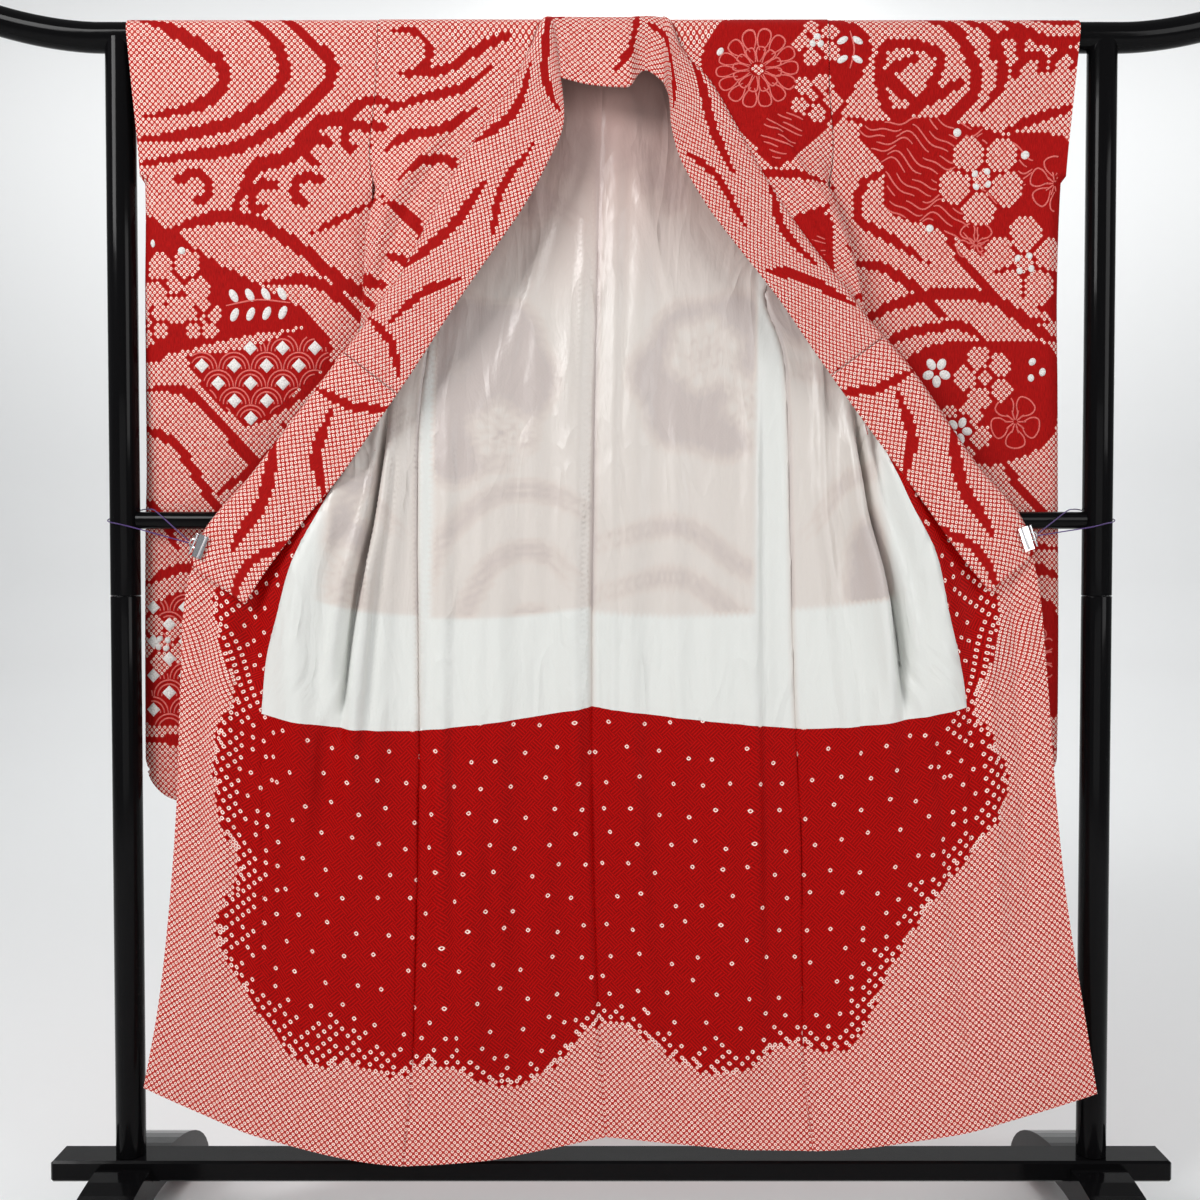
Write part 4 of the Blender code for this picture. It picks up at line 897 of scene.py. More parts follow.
def fans(outline, size):
    """Thin lines and white hearts of overlapping fans that fill a patch."""
    outline = np.array(outline)
    low, high = outline.min(axis=0), outline.max(axis=0)
    lines, hearts = [], []
    rows = int((high[1] - low[1]) / (size / 2)) + 2
    for row in range(-1, rows):
        ct = low[1] + row * size / 2
        for column in range(-1, int((high[0] - low[0]) / size) + 2):
            cx = low[0] + (column + 0.5 * (row % 2)) * size
            for share in (0.94, 0.70, 0.46):
                arc = np.array([(cx + share * size / 2 * math.cos(a), ct - share * size / 2 * math.sin(a))
                                for a in np.linspace(0.0, math.pi, 19)])
                seen = patch(arc[:, 0], arc[:, 1], outline)
                for dx, dt in ((-size / 2, size / 2), (size / 2, size / 2), (0, size)):
                    seen &= np.hypot(arc[:, 0] - cx - dx, arc[:, 1] - ct - dt) > 0.50 * size
                seen &= np.abs(arc[:, 0] - cx) + np.abs(arc[:, 1] - ct + 0.10 * size) > HEART_REACH[0]
                lines += stretches(arc, seen, 2)
            heart = (cx, ct - 0.10 * size)
            if patch(np.array([heart[0]]), np.array([heart[1]]), outline)[0]:
                hearts.append((*heart, *HEART_REACH, 0.0))
    return lines, hearts


def streams(outline, gap, slope, sway):
    """Thin waving lines that fill a patch."""
    outline = np.array(outline)
    low, high = outline.min(axis=0), outline.max(axis=0)
    lines = []
    along = np.arange(low[0], high[0], 0.004)
    for k in range(-6, int((high[1] - low[1]) / gap) + 7):
        base = low[1] + k * gap + (along - low[0]) * slope
        t = (base + sway * np.sin((along - low[0]) * 62 + 0.35 * k)
             + 0.4 * sway * np.sin((along - low[0]) * 141 + 0.8 * k))
        broken = np.sin(along * 95 + k * 2.4) > 0.86
        lines += stretches(np.stack([along, t], axis=1), patch(along, t, outline) & ~broken, 3)
    return lines


def dyed(side, x, t):
    """Dye of the outer cloth's diamonds: tied all over, or plain red."""
    tone = np.full(x.shape, PALE)
    for kind, *facts in DESIGN[side]:
        if kind == "stroke":
            tone[stroke(x, t, *facts)] = RED
        elif kind == "pale_stroke":
            tone[stroke(x, t, *facts)] = PALE
        elif kind == "hook":
            centre, size, start, turns, width = facts
            tone[stroke(x, t, hook(centre, size, start, turns), width, (1.0, 0.7))] = RED
        elif kind in ("red", "fans", "streams"):
            tone[patch(x, t, facts[0])] = RED
        elif kind == "blossom":
            whole, lines = blossom(x, t, *facts[:4])
            tone[whole] = PALE
            tone[lines] = RED
        elif kind == "chrysanthemum":
            centre, radius = facts
            away = np.hypot(x - centre[0], t - centre[1])
            tone[away < radius * 1.06] = RED
            tone[away < radius * 0.15] = PALE
    return tone


def fine_work(side):
    """Thin stitched lines and white tufts of one side: lines, and middles with their reach."""
    lines, tufts = [], []
    for kind, *facts in DESIGN[side]:
        if kind == "fans":
            more, hearts = fans(*facts)
            lines += more
            tufts += hearts
        elif kind == "streams":
            lines += streams(*facts)
        elif kind == "chrysanthemum":
            centre, radius = facts
            lines += petal_lines(centre, radius * 0.52, radius, 14)
            lines += petal_lines(centre, radius * 0.20, radius * 0.60, 12, 0.2)
        elif kind == "rosette":
            centre, radius, count = facts
            lines += petal_lines(centre, radius * 0.30, radius, count, 0.3, 0.85)
            lines += [[polar(centre, radius * a, w) for a in (0.08, 0.45)]
                      for w in np.arange(10) * 2 * math.pi / 10]
        elif kind == "blossom" and len(facts) > 4:
            centre, radius = facts[0], facts[1]
            for k in range(facts[4]):
                a = 0.6 + 2 * math.pi * k / facts[4]
                tufts.append((*polar(centre, 0.2 * radius, a), 0.0042, 0.0050, a))
        elif kind == "tuft":
            tufts.append(facts)
        elif kind == "white_plum":
            centre, radius, turn = facts
            for k in range(5):
                a = turn + 2 * math.pi * k / 5
                tufts.append((*polar(centre, radius * 0.62, a), radius * 0.40, radius * 0.30, a))
        elif kind == "spray":
            start, end, count, reach = facts
            start, end = np.array(start), np.array(end)
            way = unit(end - start)
            sideways = np.array((-way[1], way[0]))
            lines.append([tuple(start), tuple((start + end) / 2 + sideways * 0.006), tuple(end)])
            for k in range(count):
                for hand in (-1, 1):
                    at = start + (end - start) * (k + 0.5) / count + sideways * hand * reach * 1.35
                    turn = math.atan2(way[1], way[0]) - hand * 1.05
                    tufts.append((*at, min(reach * 1.10, ROUND_TUFT), reach * 0.58, turn))
    return lines, tufts


def spread(i, j, salt):
    """An even but unordered number between 0 and 1 for each lattice place."""
    value = np.sin(i * 127.1 + j * 311.7 + salt * 74.7) * 43758.5453
    return value - np.floor(value)


# Where the lower lining's red ends: cloth length from the hem along the whole width, X from the left
# front edge to the right one, and width from the front edges along the cloth's length
HEM_BORDER = (
    # place height
    (-0.70, 0.430), (-0.62, 0.330), (-0.55, 0.260), (-0.50, 0.200), (-0.46, 0.152), (-0.42, 0.118),
    (-0.385, 0.112), (-0.35, 0.128), (-0.31, 0.118), (-0.27, 0.122), (-0.235, 0.134), (-0.19, 0.124),
    (-0.15, 0.106), (-0.10, 0.098), (-0.06, 0.116), (-0.02, 0.150), (0.02, 0.165), (0.06, 0.146),
    (0.11, 0.116), (0.155, 0.104), (0.195, 0.112), (0.235, 0.138), (0.275, 0.146), (0.315, 0.136),
    (0.345, 0.144), (0.375, 0.190), (0.41, 0.250), (0.45, 0.305), (0.50, 0.350), (0.60, 0.430),
    (0.72, 0.530),
)
EDGE_BORDER = (
    (
        # t     width
        (0.36, 0.000), (0.55, 0.006), (0.66, 0.010), (0.74, 0.030), (0.80, 0.052), (0.86, 0.040),
        (0.92, 0.056), (0.98, 0.086), (1.04, 0.064), (1.10, 0.058), (1.16, 0.070), (1.22, 0.100),
        (1.28, 0.082), (1.34, 0.080), (1.40, 0.110), (1.56, 0.120),
    ),
    (
        (0.36, 0.000), (0.60, 0.008), (0.72, 0.016), (0.78, 0.048), (0.84, 0.066), (0.90, 0.060),
        (0.96, 0.086), (1.01, 0.110), (1.07, 0.082), (1.13, 0.072), (1.20, 0.120), (1.26, 0.190),
        (1.32, 0.250), (1.40, 0.300), (1.56, 0.340),
    ),
)
hem_track = smooth_track(HEM_BORDER)
edge_tracks = [smooth_track(table) for table in EDGE_BORDER]
# Lattice steps of the square that holds one lone knot
LONE_CELL = 10


def border_distance(side, x, t):
    """How far a place of the lower lining lies inside the red, from its scalloped border."""
    length = np.abs(t)
    way = 1 if side else -1
    place = way * np.where(t > 0, back_width(side, length) + SHOULDER[side] - x, x)
    from_hem = BODY_LENGTH - length - hem_track(place)[..., 0]
    edge = np.where(t > 0, x - (SHOULDER[side] - front_width(side, np.clip(t, 0, BODY_LENGTH))), 9)
    return np.minimum(from_hem, edge - edge_tracks[side](length)[..., 0])


def hem_dyed(side, x, t):
    """Dye of the lower lining: red with scattered knots that crowd towards the tied border."""
    inside = border_distance(side, x, t)
    i, j = np.rint(x / PITCH), np.rint(t / PITCH)
    tone = np.where(inside + (spread(i, j, 5) - 0.5) * 0.009 > 0, RED, PALE)
    reach = 0.050 + 0.045 * ease((np.where(t > 0, 0.30, 0.0) - x) / 0.1) * (t > 0)
    crowd = np.clip(1 - inside / reach, 0, 1)
    close_grid = (i % 2 == 0) & ((i + j) % 4 == 0)
    wide_grid = (i % 4 == 0) & ((i + j) % 8 == 0)
    chance = spread(i, j, 1) - 0.5
    near = close_grid & (crowd > 0.62 + 0.45 * chance) | wide_grid & (crowd > 0.22 + 0.4 * chance)
    near |= (spread(i, j, 7) < 0.40 * np.clip(1 - inside / 0.010, 0, 1))
    ci, cj = np.floor(i / LONE_CELL), np.floor(j / LONE_CELL)
    pick_i = ci * LONE_CELL + 1 + 4 * (cj % 2) + np.floor(spread(ci, cj, 2) * 4)
    pick_j = cj * LONE_CELL + 2 + np.floor(spread(ci, cj, 3) * 5)
    pick_j = pick_j + (pick_i + pick_j) % 2
    lone = (i == pick_i) & (j == pick_j) & (crowd < 0.3)
    tone[(inside > 0) & (near | lone)] = LONE
    return tone


# Motifs of the left and the right side in the order in which they are laid, each with its facts:
# stroke, pale_stroke: points, width, and how full its ends are; hook: middle, size, start, turns, width
# red: outline; fans: outline, size; streams: outline, gap, slope, sway
# blossom: middle, radius, petals, turn, tufts; chrysanthemum: middle, radius
# rosette: middle, radius, petals; white_plum: middle, radius, turn
# tuft: X, T, reach, half width, turn; spray: start, end, pairs of leaves, reach
DESIGN = (
    (
        ("stroke", ((0.66, 0.00), (0.58, 0.035), (0.515, 0.085), (0.545, 0.130), (0.63, 0.150)), 0.017),
        ("stroke", ((0.50, 0.00), (0.445, 0.050), (0.435, 0.100), (0.49, 0.150), (0.57, 0.172),
                    (0.66, 0.182)), 0.017),
        ("stroke", ((0.46, -0.01), (0.40, 0.045), (0.365, 0.090), (0.42, 0.150), (0.50, 0.190), (0.57, 0.200),
                    (0.66, 0.215)), 0.016),
        ("stroke", ((0.28, 0.135), (0.315, 0.128), (0.345, 0.150), (0.385, 0.160), (0.42, 0.200),
                    (0.47, 0.215), (0.495, 0.250), (0.515, 0.285)), 0.019),
        ("hook", (0.325, 0.182), 0.026, -2.4, 0.62, 0.0125),
        ("hook", (0.383, 0.200), 0.025, -2.4, 0.62, 0.0125),
        ("hook", (0.402, 0.252), 0.027, -2.4, 0.64, 0.0125),
        ("hook", (0.465, 0.262), 0.027, -2.3, 0.64, 0.0125),
        ("hook", (0.562, 0.250), 0.030, -0.6, -0.66, 0.0130),
        ("stroke", ((0.605, 0.305), (0.55, 0.285), (0.48, 0.288), (0.41, 0.325), (0.35, 0.370),
                    (0.30, 0.392)), 0.017, (0.3, 0.7)),
        ("stroke", ((0.46, 0.372), (0.40, 0.368), (0.35, 0.392), (0.30, 0.440)), 0.015),
        ("stroke", ((0.395, 0.305), (0.35, 0.285), (0.30, 0.262)), 0.008),
        ("stroke", ((0.655, 0.275), (0.62, 0.290)), 0.007),
        ("red", ((0.655, 0.300), (0.60, 0.300), (0.55, 0.335), (0.48, 0.370), (0.41, 0.405), (0.365, 0.455),
                 (0.385, 0.470), (0.46, 0.440), (0.55, 0.455), (0.66, 0.470))),
        ("blossom", (0.595, 0.375), 0.052, 5, 0.4),
        ("blossom", (0.555, 0.420), 0.030, 5, 0.9),
        ("blossom", (0.635, 0.425), 0.032, 5, 0.1),
        ("tuft", 0.585, 0.328, 0.0055, 0.0050, 0.0),
        ("tuft", 0.628, 0.318, 0.0035, 0.0055, 0.2),
        ("spray", (0.520, 0.402), (0.425, 0.398), 4, 0.0095),
        ("fans", ((0.575, 0.475), (0.50, 0.462), (0.41, 0.440), (0.365, 0.470), (0.40, 0.505), (0.49, 0.560)),
         0.048),
        ("pale_stroke", ((0.61, 0.470), (0.52, 0.455), (0.41, 0.432)), 0.0058, (1, 1)),
        ("stroke", ((0.58, 0.47), (0.54, 0.52), (0.49, 0.565)), 0.010),
        ("stroke", ((0.49, 0.565), (0.42, 0.53), (0.36, 0.478)), 0.010),
        ("stroke", ((0.65, 0.515), (0.58, 0.520), (0.52, 0.575), (0.46, 0.640), (0.41, 0.69)), 0.014),
        ("stroke", ((0.66, 0.565), (0.60, 0.590), (0.55, 0.660), (0.50, 0.730)), 0.013),
        ("stroke", ((0.545, 0.665), (0.49, 0.630), (0.43, 0.585), (0.38, 0.565)), 0.011),
        ("stroke", ((0.445, 0.560), (0.40, 0.585), (0.35, 0.640), (0.31, 0.665)), 0.010),
        ("stroke", ((0.66, 0.660), (0.62, 0.690), (0.59, 0.745)), 0.011),
        ("stroke", ((0.65, 0.79), (0.59, 0.765), (0.53, 0.775), (0.47, 0.81)), 0.014),
        ("fans", ((0.66, 0.86), (0.61, 0.805), (0.55, 0.800), (0.51, 0.85), (0.53, 0.95), (0.59, 0.985),
                  (0.66, 0.97)), 0.048),
        ("blossom", (0.615, 0.870), 0.042, 5, 0.2, 4),
        ("stroke", ((0.50, 0.88), (0.44, 0.93), (0.38, 0.965), (0.31, 0.975)), 0.016),
        ("stroke", ((0.66, 1.005), (0.56, 1.010), (0.46, 1.040), (0.37, 1.060)), 0.016),
        ("stroke", ((0.29, 0.035), (0.255, 0.035), (0.235, 0.060), (0.25, 0.085), (0.285, 0.095)), 0.010),
        ("stroke", ((0.265, 0.095), (0.21, 0.080), (0.16, 0.045), (0.12, 0.030)), 0.012),
        ("stroke", ((0.30, 0.145), (0.25, 0.125), (0.19, 0.105), (0.15, 0.070)), 0.011),
        ("stroke", ((0.30, 0.195), (0.265, 0.175), (0.215, 0.165), (0.17, 0.130)), 0.014),
        ("stroke", ((0.28, 0.240), (0.25, 0.215), (0.21, 0.210), (0.19, 0.230)), 0.013),
        ("stroke", ((0.30, 0.275), (0.27, 0.290), (0.24, 0.330), (0.23, 0.380)), 0.014),
        ("stroke", ((0.30, 0.345), (0.26, 0.365), (0.23, 0.420), (0.20, 0.480)), 0.014),
        ("stroke", ((0.20, 0.255), (0.175, 0.290), (0.18, 0.345), (0.21, 0.390)), 0.012),
        ("stroke", ((0.30, 0.55), (0.24, 0.60), (0.14, 0.70), (0.08, 0.86)), 0.016),
        ("stroke", ((0.06, 0.62), (0.12, 0.66), (0.20, 0.66), (0.28, 0.72)), 0.014),
        ("red", round_outline((0.15, 0.80), (0.075, 0.095), 0.3, 6, 0.12)),
        ("blossom", (0.15, 0.80), 0.055, 6, 0.5, 4),
        ("stroke", ((0.30, -0.09), (0.22, -0.12), (0.12, -0.09), (0.05, -0.14)), 0.016),
        ("stroke", ((0.30, -0.15), (0.20, -0.19), (0.12, -0.16), (0.02, -0.22)), 0.016),
        ("stroke", ((0.30, -0.22), (0.21, -0.26), (0.12, -0.23), (0.02, -0.29)), 0.015),
        ("hook", (0.10, -0.27), 0.032, 0.5, 0.7, 0.013),
        ("hook", (0.19, -0.30), 0.030, 0.5, 0.7, 0.013),
        ("hook", (0.27, -0.27), 0.028, 0.5, 0.7, 0.012),
        ("red", round_outline((0.17, -0.52), (0.115, 0.135), 0.4, 7, 0.13)),
        ("chrysanthemum", (0.19, -0.49), 0.062),
        ("blossom", (0.13, -0.58), 0.045, 5, 0.3, 4),
        ("stroke", ((0.00, -0.70), (0.06, -0.665), (0.13, -0.665), (0.20, -0.72), (0.23, -0.80)), 0.017),
        ("stroke", ((0.02, -0.79), (0.07, -0.745), (0.13, -0.755), (0.17, -0.82), (0.18, -0.90)), 0.016),
        ("stroke", ((0.04, -0.87), (0.08, -0.83), (0.12, -0.86), (0.13, -0.93)), 0.015),
        ("stroke", ((0.31, -0.70), (0.26, -0.76), (0.24, -0.86), (0.27, -0.96)), 0.016),
        ("fans", round_outline((0.14, -1.10), (0.12, 0.085), 0.1, 5, 0.1), 0.048),
        ("stroke", ((0.32, -0.05), (0.42, -0.10), (0.54, -0.07), (0.66, -0.13)), 0.017),
        ("stroke", ((0.32, -0.12), (0.42, -0.17), (0.54, -0.14), (0.66, -0.20)), 0.016),
        ("hook", (0.44, -0.22), 0.030, 0.5, 0.7, 0.013),
        ("hook", (0.55, -0.20), 0.028, 0.5, 0.7, 0.012),
        ("red", round_outline((0.49, -0.42), (0.115, 0.120), 0.4, 7, 0.13)),
        ("blossom", (0.455, -0.40), 0.052, 6, 0.2, 4),
        ("blossom", (0.545, -0.46), 0.042, 5, 0.9, 4),
        ("stroke", ((0.32, -0.62), (0.44, -0.58), (0.55, -0.64), (0.66, -0.60)), 0.017),
        ("stroke", ((0.32, -0.69), (0.44, -0.65), (0.55, -0.71), (0.66, -0.67)), 0.016),
        ("fans", round_outline((0.50, -0.88), (0.115, 0.095), 0.3, 5, 0.1), 0.048),
    ),
    (
        ("hook", (0.420, 0.092), 0.066, 0.2, 1.75, 0.014),
        ("stroke", ((0.36, 0.00), (0.43, 0.005), (0.485, 0.045), (0.51, 0.105), (0.475, 0.150), (0.40, 0.165),
                    (0.33, 0.150)), 0.016),
        ("stroke", ((0.47, 0.00), (0.53, 0.045), (0.545, 0.100), (0.52, 0.140)), 0.013),
        ("hook", (0.555, 0.060), 0.027, 2.9, 0.62, 0.012),
        ("hook", (0.588, 0.085), 0.025, 2.9, 0.62, 0.012),
        ("hook", (0.635, 0.078), 0.023, 2.9, 0.62, 0.011),
        ("stroke", ((0.52, 0.005), (0.57, 0.035), (0.61, 0.050), (0.66, 0.045)), 0.014),
        ("stroke", ((0.56, 0.00), (0.61, 0.020), (0.66, 0.018)), 0.010),
        ("stroke", ((0.655, 0.135), (0.60, 0.150), (0.55, 0.170)), 0.011),
        ("streams", ((0.345, 0.165), (0.44, 0.150), (0.54, 0.170), (0.60, 0.200), (0.58, 0.255),
                     (0.52, 0.285), (0.55, 0.345), (0.47, 0.300), (0.39, 0.275), (0.385, 0.225)),
         0.0105, 0.30, 0.010),
        ("red", ((0.57, 0.170), (0.655, 0.190), (0.66, 0.300), (0.66, 0.420), (0.60, 0.395), (0.54, 0.345),
                 (0.50, 0.290), (0.53, 0.220))),
        ("rosette", (0.632, 0.238), 0.036, 6),
        ("blossom", (0.525, 0.232), 0.062, 5, 0.35, 4),
        ("blossom", (0.592, 0.345), 0.062, 5, 0.95, 4),
        ("rosette", (0.520, 0.318), 0.028, 5),
        ("tuft", 0.485, 0.170, 0.0058, 0.0058, 0.0),
        ("tuft", 0.585, 0.200, 0.0062, 0.0058, 0.0),
        ("tuft", 0.452, 0.298, 0.0058, 0.0052, 0.0),
        ("stroke", ((0.40, 0.215), (0.355, 0.240), (0.350, 0.285), (0.40, 0.315), (0.45, 0.345)), 0.012),
        ("stroke", ((0.33, 0.345), (0.38, 0.350), (0.44, 0.385), (0.48, 0.425)), 0.013),
        ("stroke", ((0.33, 0.440), (0.39, 0.405), (0.47, 0.385), (0.55, 0.395), (0.62, 0.440), (0.66, 0.450)),
         0.015),
        ("stroke", ((0.47, 0.300), (0.51, 0.350), (0.57, 0.410), (0.63, 0.425)), 0.012),
        ("stroke", ((0.36, 0.470), (0.42, 0.440), (0.50, 0.430), (0.545, 0.455)), 0.012),
        ("red", ((0.395, 0.495), (0.46, 0.455), (0.54, 0.450), (0.63, 0.455), (0.655, 0.510), (0.63, 0.585),
                 (0.55, 0.620), (0.49, 0.600), (0.45, 0.545))),
        ("white_plum", (0.463, 0.492), 0.021, 0.3),
        ("tuft", 0.425, 0.505, 0.0060, 0.0060, 0.4),
        ("tuft", 0.446, 0.525, 0.0055, 0.0065, 0.4),
        ("blossom", (0.535, 0.500), 0.044, 5, 0.6),
        ("blossom", (0.500, 0.575), 0.044, 5, 0.2),
        ("red", round_outline((0.497, 0.572), (0.025, 0.024), 0.0, 5, 0.2)),
        ("white_plum", (0.497, 0.572), 0.019, 0.1),
        ("rosette", (0.580, 0.560), 0.036, 5),
        ("tuft", 0.605, 0.478, 0.0048, 0.0058, 0.9),
        ("tuft", 0.620, 0.492, 0.0048, 0.0058, 0.4),
        ("tuft", 0.603, 0.500, 0.0048, 0.0052, 0.0),
        ("stroke", ((0.47, 0.595), (0.445, 0.640), (0.43, 0.70)), 0.012),
        ("stroke", ((0.56, 0.615), (0.60, 0.665), (0.66, 0.715)), 0.012),
        ("stroke", ((0.42, 0.62), (0.47, 0.68), (0.54, 0.72), (0.66, 0.74)), 0.013),
        ("stroke", ((0.66, 0.78), (0.60, 0.765), (0.53, 0.790), (0.48, 0.84)), 0.014),
        ("red", ((0.64, 0.82), (0.56, 0.81), (0.51, 0.87), (0.53, 0.95), (0.60, 0.98), (0.66, 0.95))),
        ("chrysanthemum", (0.590, 0.890), 0.050),
        ("stroke", ((0.32, 0.90), (0.40, 0.96), (0.52, 1.010), (0.66, 1.020)), 0.016),
        ("red", ((0.135, 0.060), (0.165, 0.015), (0.25, 0.005), (0.335, 0.020), (0.365, 0.060),
                 (0.335, 0.120), (0.300, 0.175), (0.24, 0.225), (0.20, 0.190), (0.15, 0.130))),
        ("chrysanthemum", (0.210, 0.085), 0.055),
        ("blossom", (0.292, 0.050), 0.032, 5, 0.6, 3),
        ("blossom", (0.290, 0.125), 0.034, 5, 0.1),
        ("streams", ((0.225, 0.150), (0.275, 0.150), (0.275, 0.185), (0.24, 0.215), (0.215, 0.185)), 0.0085,
         0.5, 0.004),
        ("spray", (0.335, 0.085), (0.335, 0.035), 2, 0.0075),
        ("tuft", 0.160, 0.052, 0.0045, 0.0060, 0.5),
        ("stroke", ((0.08, 0.030), (0.11, 0.060), (0.115, 0.110), (0.14, 0.150)), 0.012),
        ("blossom", (0.150, 0.185), 0.030, 5, 0.2),
        ("stroke", ((0.12, 0.225), (0.17, 0.235), (0.24, 0.235), (0.31, 0.245)), 0.013),
        ("stroke", ((0.17, 0.275), (0.21, 0.300), (0.23, 0.345), (0.215, 0.400)), 0.014),
        ("stroke", ((0.31, 0.285), (0.27, 0.310), (0.23, 0.355), (0.20, 0.37)), 0.018),
        ("red", ((0.31, 0.300), (0.265, 0.335), (0.235, 0.40), (0.265, 0.455), (0.31, 0.43))),
        ("streams", ((0.305, 0.320), (0.275, 0.345), (0.250, 0.40), (0.275, 0.440), (0.305, 0.42)), 0.0085,
         0.3, 0.004),
        ("stroke", ((0.30, 0.49), (0.25, 0.505), (0.18, 0.53), (0.12, 0.60)), 0.015),
        ("stroke", ((0.06, 0.62), (0.14, 0.66), (0.22, 0.66), (0.28, 0.72)), 0.014),
        ("red", round_outline((0.15, 0.80), (0.080, 0.095), 0.3, 6, 0.12)),
        ("chrysanthemum", (0.15, 0.80), 0.055),
        ("stroke", ((0.31, -0.09), (0.22, -0.12), (0.12, -0.09), (0.02, -0.14)), 0.016),
        ("stroke", ((0.31, -0.16), (0.21, -0.19), (0.12, -0.16), (0.02, -0.21)), 0.016),
        ("hook", (0.09, -0.25), 0.032, 2.6, -0.7, 0.013),
        ("hook", (0.18, -0.24), 0.030, 2.6, -0.7, 0.013),
        ("streams", round_outline((0.17, -0.50), (0.125, 0.115), 0.4, 7, 0.13), 0.0105, 0.25, 0.010),
        ("blossom", (0.15, -0.47), 0.055, 6, 0.3, 4),
        ("blossom", (0.22, -0.54), 0.045, 5, 0.8, 4),
        ("stroke", ((0.00, -0.74), (0.12, -0.71), (0.22, -0.77), (0.31, -0.74)), 0.017),
        ("stroke", ((0.00, -0.81), (0.12, -0.78), (0.22, -0.84), (0.31, -0.81)), 0.016),
        ("stroke", ((0.00, -0.88), (0.12, -0.85), (0.22, -0.91), (0.31, -0.88)), 0.015),
        ("fans", round_outline((0.16, -1.10), (0.12, 0.085), 0.1, 5, 0.1), 0.048),
        ("stroke", ((0.32, -0.05), (0.42, -0.10), (0.54, -0.07), (0.66, -0.13)), 0.017),
        ("stroke", ((0.32, -0.12), (0.42, -0.17), (0.54, -0.14), (0.66, -0.20)), 0.016),
        ("hook", (0.43, -0.23), 0.032, 2.6, -0.7, 0.013),
        ("hook", (0.53, -0.21), 0.028, 2.6, -0.7, 0.012),
        ("red", round_outline((0.48, -0.44), (0.115, 0.115), 0.4, 7, 0.13)),
        ("chrysanthemum", (0.47, -0.42), 0.062),
        ("blossom", (0.545, -0.50), 0.038, 5, 0.4, 4),
        ("stroke", ((0.32, -0.64), (0.44, -0.60), (0.55, -0.66), (0.66, -0.62)), 0.017),
        ("stroke", ((0.32, -0.71), (0.44, -0.67), (0.55, -0.73), (0.66, -0.69)), 0.016),
        ("fans", round_outline((0.50, -0.90), (0.115, 0.095), 0.3, 5, 0.1), 0.048),
    ),
)

# Red strokes of the collar, by the place across it and the length along it from its lower end; they
# come again each time the length of the repeat is reached
COLLAR_REPEAT = 0.58
COLLAR_DESIGN = (
    ((0.11, 0.02), (0.06, 0.05), (0.00, 0.06)), ((0.04, 0.07), (0.06, 0.13), (0.11, 0.17)),
    ((0.00, 0.15), (0.04, 0.22), (0.05, 0.30)), ((0.11, 0.24), (0.08, 0.30), (0.09, 0.38)),
    ((0.00, 0.34), (0.03, 0.40), (0.02, 0.47)), ((0.11, 0.44), (0.06, 0.47), (0.01, 0.54)),
)


def collar_dyed(x, t):
    """Red strokes on the collar, that repeat along it."""
    tone = np.full(x.shape, PALE)
    for turn in range(4):
        for k, points in enumerate(COLLAR_DESIGN):
            moved = [(a, b + turn * COLLAR_REPEAT) for a, b in points]
            tone[stroke(x, t, moved, 0.011 + 0.003 * (k % 3))] = RED
    return tone


